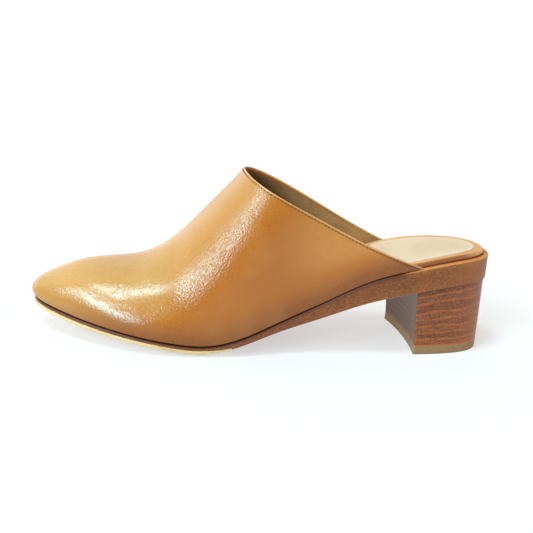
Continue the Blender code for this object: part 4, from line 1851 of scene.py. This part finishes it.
@dataclass
class Heel:
    """The stacked block heel and its rubber top piece."""

    workshop: Workshop
    stack: StackedLeather = StackedLeather()
    rubber: TopPieceRubber = TopPieceRubber()
    inset: float = 0.6
    breast_station: float = 46.5
    back_station: float = -0.15
    foot_breast_station: float = 43.5
    foot_back_station: float = -0.9
    foot_width_share: float = 0.965
    foot_fullness: float = 0.83
    breast_skew: float = 1.1
    breast_hollow: float = 2.5
    corner_softness: float = 1.1  # in points round the loop
    corner_reach: int = 3
    top_piece: float = 5.0
    top_piece_wear: float = 0.45
    top_piece_wear_steps: int = 6
    top_piece_levels: tuple[float, ...] = (1.2, 2.4, 3.6, 4.85)
    top_piece_bevel: tuple[float, float] = (0.1, 0.01)
    top_piece_tread: Span = (0.1, 1.4)
    lift_joints: tuple[float, ...] = (0.125, 0.235, 0.355, 0.475, 0.60, 0.765, 0.90)  # shares of its height
    joint_width: float = 0.6
    joint_depth: float = 0.10
    joint_sway: Waver = Waver(0.35, 38.0, 20)
    joint_shake: Waver = Waver(0.12, 9.0, 40)
    joint_strength: float = 0.7
    joint_change: Waver = Waver(0.3, 25.0, 60)
    lift_dark: float = 0.55
    lift_light: float = 0.1
    lift_blend: float = 1.2
    swell: float = 0.05
    seat_gap: float = 0.02
    shadow_rise: Span = (0.74, 0.97)
    foot_rise: Span = (0.010, 0.035)
    breast_foot: float = 0.7  # how much less the foot's line shows on the breast
    fibre_turn: float = 0.2  # how much of the way across counts as depth for the fibres
    aft_stations: Span = (2.0, 26.0)
    samples: int = 2001
    side_points: int = 110
    breast_points: int = 90
    levels: int = 110

    def loop(self, back: float, breast: float, width_share: float, fullness: float) -> np.ndarray:
        """One level's plan outline.

        Args:
            back: Station of the rearmost point.
            breast: Station of the front face's lateral corner.
            width_share: Width as a share of the seat's.
            fullness: Under 1 squares the back, and 1 keeps the seat's outline.

        Returns:
            Station and Y round the loop from the lateral front corner, with its corners a little rounded.
        """
        last = self.workshop.last
        outer = FLANGE - self.inset
        first = -outer
        depth, whole = self.breast_station - first, last.length + 2 * outer
        fine = 1 - np.cos(np.linspace(0, math.pi / 2, self.samples))
        seat_run = last.edges(outer, (first + depth * fine - first) / whole)
        sides = []
        for k in (0, 1):
            run = run_length(seat_run[:, k])
            share = np.interp(np.linspace(0, run[-1], self.side_points + 1), run, fine)
            seat = first + depth * share**fullness
            edge = last.edges(outer, (seat - first) / whole)[:, k, 1]
            corner = breast + self.breast_skew * k
            sides.append(np.stack([back + (corner - back) * share, edge * width_share], axis=-1))
        across = np.linspace(-1, 1, self.breast_points + 1)[:, None]
        front = sides[0][-1] * (1 - across) / 2 + sides[1][-1] * (1 + across) / 2
        front[:, 0] -= self.breast_hollow * (1 - across[:, 0] ** 2)
        ring = np.concatenate([sides[0][::-1], sides[1][1:], front[-2:0:-1]])
        shifts = np.arange(-self.corner_reach, self.corner_reach + 1)
        kernel = np.exp(-0.5 * (shifts / self.corner_softness) ** 2)
        kernel /= kernel.sum()
        return sum(weight * np.roll(ring, shift, axis=0) for shift, weight in zip(shifts, kernel))

    def foot_loop(self) -> np.ndarray:
        """The outline at the heel's foot."""
        sizes = self.foot_back_station, self.foot_breast_station, self.foot_width_share, self.foot_fullness
        return self.loop(*sizes)

    @staticmethod
    def outward(ring: np.ndarray) -> np.ndarray:
        """Unit directions away from a loop's inside.

        Args:
            ring: Station and Y round the loop.

        Returns:
            A direction at each of its points.
        """
        way = np.roll(ring, -1, axis=0) - np.roll(ring, 1, axis=0)
        out = np.stack([way[:, 1], -way[:, 0]], axis=-1)
        out /= np.linalg.norm(out, axis=1, keepdims=True)
        return out * np.sign((out * (ring - ring.mean(axis=0))).sum())

    def breast_mark(self, ring: np.ndarray) -> np.ndarray:
        """1 on the front face of a loop and 0 on its sides and back.

        Args:
            ring: Station and Y round the loop.

        Returns:
            The mark at each of its points.
        """
        corner = 2 * self.side_points
        place = np.arange(len(ring))
        return ease(corner - 1.0, corner + 1.0, place) * ease(len(ring) + 1.0, len(ring) - 1.0, place)

    def lift_marks(self, run: np.ndarray, rise: np.ndarray, tall: float) -> tuple[np.ndarray, np.ndarray]:
        """The lifts' joints, which waver round the heel, and how dark each lift is.

        Args:
            run: Distance round the loop of each of its points.
            rise: Share of the heel's height of each level, in one column.
            tall: The heel's height.

        Returns:
            How strong the joint is at each level and point, and how dark the lift.
        """
        joint = np.zeros(rise.shape[:1] + run.shape)
        lift = np.zeros_like(joint)
        for number, place in enumerate(self.lift_joints):
            waver = self.joint_sway.another(number).at(run) + self.joint_shake.another(number).at(run)
            gap = (rise - (place + waver / tall)) * tall
            strength = self.joint_strength + self.joint_change.another(number).at(run)
            joint = np.maximum(joint, bump(gap, 0, self.joint_width) * strength)
            dark = self.lift_dark * ease(0, self.lift_blend, gap) if number % 2 == 0 else self.lift_light
            lift = np.where(gap > 0, dark, lift)
        # Near the top the lifts darken further as painted shade under the sole.
        return joint, np.maximum(lift, ease(*self.shadow_rise, rise) * np.ones_like(joint))

    def build_block(self) -> None:
        """The stacked block: lifts with shallow wavering joints, from the seat's slope to the ground's."""
        last = self.workshop.last
        foot, seat = self.foot_loop(), self.loop(self.back_station, self.breast_station, 1.0, 1.0)
        run = run_length(np.concatenate([seat, seat[:1]]))[:-1]
        low = np.column_stack([foot, np.full(len(foot), self.top_piece)])
        high = np.column_stack([seat, last.underside(seat[:, 0]) - self.seat_gap])
        rise = np.linspace(0, 1, self.levels + 1)[:, None]
        rings = low * (1 - rise[..., None]) + high * rise[..., None]
        tall = float((high[:, 2] - low[:, 2]).mean())
        joint, lift = self.lift_marks(run, rise, tall)
        bulge = -self.joint_depth * joint + self.swell * np.sin(math.pi * rise)
        rings[..., :2] += self.outward(seat) * bulge[..., None]
        shape = Shape()
        shape.add_tube(rings)
        ones = np.ones_like(joint)
        breast = self.breast_mark(seat) * ones
        marks = {
            "stack": np.stack([run * ones, rise * tall * ones, self.fibre_turn * rings[..., 1]], axis=-1),
            "joint": joint,
            "lift": lift * (1 - breast),
            "breast": breast,
            "foot": (1 - ease(*self.foot_rise, rise)) * ones * (1 - self.breast_foot * breast),
            # Painted light towards the back.
            "aft": 1 - ease(*self.aft_stations, rings[..., 0]),
        }
        made = self.stack.make()
        self.workshop.piece("stacked_heel", shape, made, "stacked_leather", "heel", marks)

    def build_top_piece(self) -> None:
        """The rubber top piece, its tread edge worn round."""
        ring = self.foot_loop()
        out = self.outward(ring)
        worn = quarter_round(self.top_piece_wear, self.top_piece_wear_steps)
        profile = [(-inward, up) for inward, up in worn]
        inward, down = self.top_piece_bevel
        profile += [(0.0, up) for up in self.top_piece_levels] + [(-inward, self.top_piece - down)]
        heights = [np.full(len(ring), up) for _, up in profile]
        outlines = [ring + out * aside for aside, _ in profile]
        rings = np.array([np.column_stack(level) for level in zip(outlines, heights)])
        shape = Shape()
        shape.add_tube(rings)
        marks = {"tread": 1 - ease(*self.top_piece_tread, rings[..., 2])}
        made = self.rubber.make()
        self.workshop.piece("heel_top_piece", shape, made, "top_piece_rubber", "top_piece", marks)

    def build(self) -> None:
        """Builds and dresses the whole heel."""
        self.build_block()
        self.build_top_piece()


DAYLIGHT = "#DEF7FF"  # the strips' slightly blue white


def direction(azimuth: float, elevation: float) -> Vector:
    """A direction from the shoe, given in degrees.

    Args:
        azimuth: 0 towards the -Y side, and negative towards the toe.
        elevation: Angle above the floor.

    Returns:
        A unit vector.
    """
    turned, raised = math.radians(azimuth), math.radians(elevation)
    level = math.cos(raised)
    return Vector((math.sin(turned) * level, -math.cos(turned) * level, math.sin(raised)))


@dataclass(frozen=True)
class Softbox:
    """A large soft light far from the shoe, which lights the whole floor evenly.

    It is given by how wide it looks from the shoe, in degrees, and by the light that falls square on to a
    surface, in watts a square metre.
    """

    name: str
    azimuth: float
    elevation: float
    spread: float
    strength: float
    colour: str = "#FFFFFF"

    def hang(self) -> None:
        """Adds the light to the scene."""
        lamp = bpy.data.lights.new(self.name, "SUN")
        lamp.angle, lamp.energy = math.radians(self.spread), self.strength
        lamp.color = linear(self.colour)[:3]
        held = bpy.data.objects.new(self.name, lamp)
        bpy.context.scene.collection.objects.link(held)
        back = direction(self.azimuth, self.elevation)
        held.location = back
        held.rotation_euler = (-back).to_track_quat("-Z", "Y").to_euler()


@dataclass
class Studio:
    """The pale floor, backdrop, soft lights and camera. Sizes are in metres, and the lens in millimetres."""

    floor_half: float = 60.0
    floor_drop: float = 0.0001
    backdrop_radius: float = 9.0
    backdrop_height: float = 8.0
    backdrop_sides: int = 64
    horizon_glow: float = 1.0
    sky_glow: float = 0.06
    horizon_band: Span = (0.02, 0.16)
    azimuth: float = -10.44
    elevation: float = 17.73
    roll: float = 6.14
    distance: float = 0.5009
    lens: float = 60.79
    clip: Span = (0.01, 50.0)
    aim_offset: tuple[float, float, float] = (-0.0003, 0.0020, -0.0078)
    light_table: GlowingSheet = GlowingSheet("opal_light_table", "#979797", 0.55)
    paper: GlowingSheet = GlowingSheet("white_backdrop_paper", "#F4F4F4", 1.0)
    lights: tuple[Softbox, ...] = (
        Softbox("side_strip", -30, 15, 16, 0.70, DAYLIGHT),
        Softbox("right_strip", -38, 22, 14, 0.85, DAYLIGHT),
        Softbox("middle_strip", -46, 28, 13, 1.10, DAYLIGHT),
        Softbox("left_strip", -56, 33, 13, 1.20, DAYLIGHT),
        Softbox("far_strip", -74, 36, 14, 0.75, DAYLIGHT),
        Softbox("upper_strip", -60, 55, 14, 0.42, DAYLIGHT),
        Softbox("high_strip", -66, 68, 14, 1.50, DAYLIGHT),
        Softbox("heel_window", 75, 14, 60, 1.60, "#FFDDB8"),
        Softbox("back_window", -150, 35, 80, 1.60, "#FFF4E8"),
        Softbox("rear_window", 130, 30, 80, 0.30),
    )

    def centre(self) -> Vector:
        """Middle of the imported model's box."""
        low, high = (Vector(corner) for corner in CAD_BOX)
        return (low + high) / 2

    def stage_sheet(self, name: str, corners: list, faces: list, finish: GlowingSheet) -> bpy.types.Object:
        """Stands a sheet in the studio.

        Args:
            name: Its name.
            corners: Its corners in metres.
            faces: The numbers of each face's corners.
            finish: What it is made of.

        Returns:
            The object.
        """
        mesh = bpy.data.meshes.new(name)
        mesh.from_pydata(corners, [], faces)
        mesh.materials.append(finish.make())
        sheet = bpy.data.objects.new(name, mesh)
        bpy.context.scene.collection.objects.link(sheet)
        return sheet

    def lay_floor(self) -> None:
        """A wide light table that the shoe stands on."""
        half, height = self.floor_half, -self.floor_drop
        corners = [(-half, -half, height), (half, -half, height), (half, half, height), (-half, half, height)]
        self.stage_sheet("opal_floor", corners, [(0, 1, 2, 3)], self.light_table)

    def raise_backdrop(self) -> None:
        """A round white backdrop well behind the shoe. It neither lights it nor shows in its shine."""
        count = self.backdrop_sides
        turns = np.linspace(0, 2 * math.pi, count + 1)[:-1]
        ring = np.stack([np.cos(turns), np.sin(turns)], axis=1) * self.backdrop_radius
        corners = [(x, y, z) for z in (0.0, self.backdrop_height) for x, y in ring]
        sheets = [(i, (i + 1) % count, count + (i + 1) % count, count + i) for i in range(count)]
        backdrop = self.stage_sheet("white_backdrop", corners, sheets, self.paper)
        backdrop.visible_diffuse = backdrop.visible_glossy = False
        backdrop.visible_transmission = backdrop.visible_shadow = False

    def hang_lights(self) -> None:
        """The surround, bright at the horizon and dim overhead, and the softboxes."""
        world = bpy.data.worlds.new("white_surround")
        world.use_nodes = True
        tree = world.node_tree
        background = tree.nodes["Background"]
        background.inputs["Color"].default_value = linear("#FFFFFF")
        way = add_node(tree, "TexCoord", {}).outputs["Generated"]
        height = add_node(tree, "SeparateXYZ", {}, {0: way}).outputs["Z"]
        low, high = self.horizon_band
        settings = {"interpolation_type": "SMOOTHSTEP", 1: low, 2: high}
        settings |= {3: self.horizon_glow, 4: self.sky_glow}
        glow = add_node(tree, "MapRange", settings, {0: height}).outputs[0]
        tree.links.new(glow, background.inputs["Strength"])
        bpy.context.scene.world = world
        for light in self.lights:
            light.hang()

    def set_camera(self) -> None:
        """The camera, a little above the sole's height and tipped so that the toe sits low."""
        camera = bpy.data.cameras.new("camera")
        camera.lens = self.lens
        camera.clip_start, camera.clip_end = self.clip
        held = bpy.data.objects.new("camera", camera)
        bpy.context.scene.collection.objects.link(held)
        turned, tipped = math.radians(self.azimuth), math.radians(self.roll)
        back = direction(self.azimuth, self.elevation)
        right = Vector((math.cos(turned), math.sin(turned), 0))
        up = back.cross(right)
        across = right * math.cos(tipped) + up * math.sin(tipped)
        along = up * math.cos(tipped) - right * math.sin(tipped)
        aim = self.centre() + Vector(self.aim_offset)
        turn_to = Matrix((across, along, back)).transposed().to_4x4()
        held.matrix_world = Matrix.Translation(aim + back * self.distance) @ turn_to
        bpy.context.scene.camera = held

    def build(self) -> None:
        """Sets up the whole studio."""
        self.lay_floor()
        self.raise_backdrop()
        self.hang_lights()
        self.set_camera()
        bpy.context.scene.view_settings.view_transform = "Standard"


def main() -> None:
    """Builds the studio and then the mule, sub-assembly by sub-assembly."""
    logging.basicConfig(level=logging.INFO, format="%(message)s")
    Studio().build()
    workshop = Workshop(Last())
    for sub_assembly in (Upper, Insole, Sock, Sole, Heel):
        sub_assembly(workshop).build()


if __name__ == "__main__":
    main()
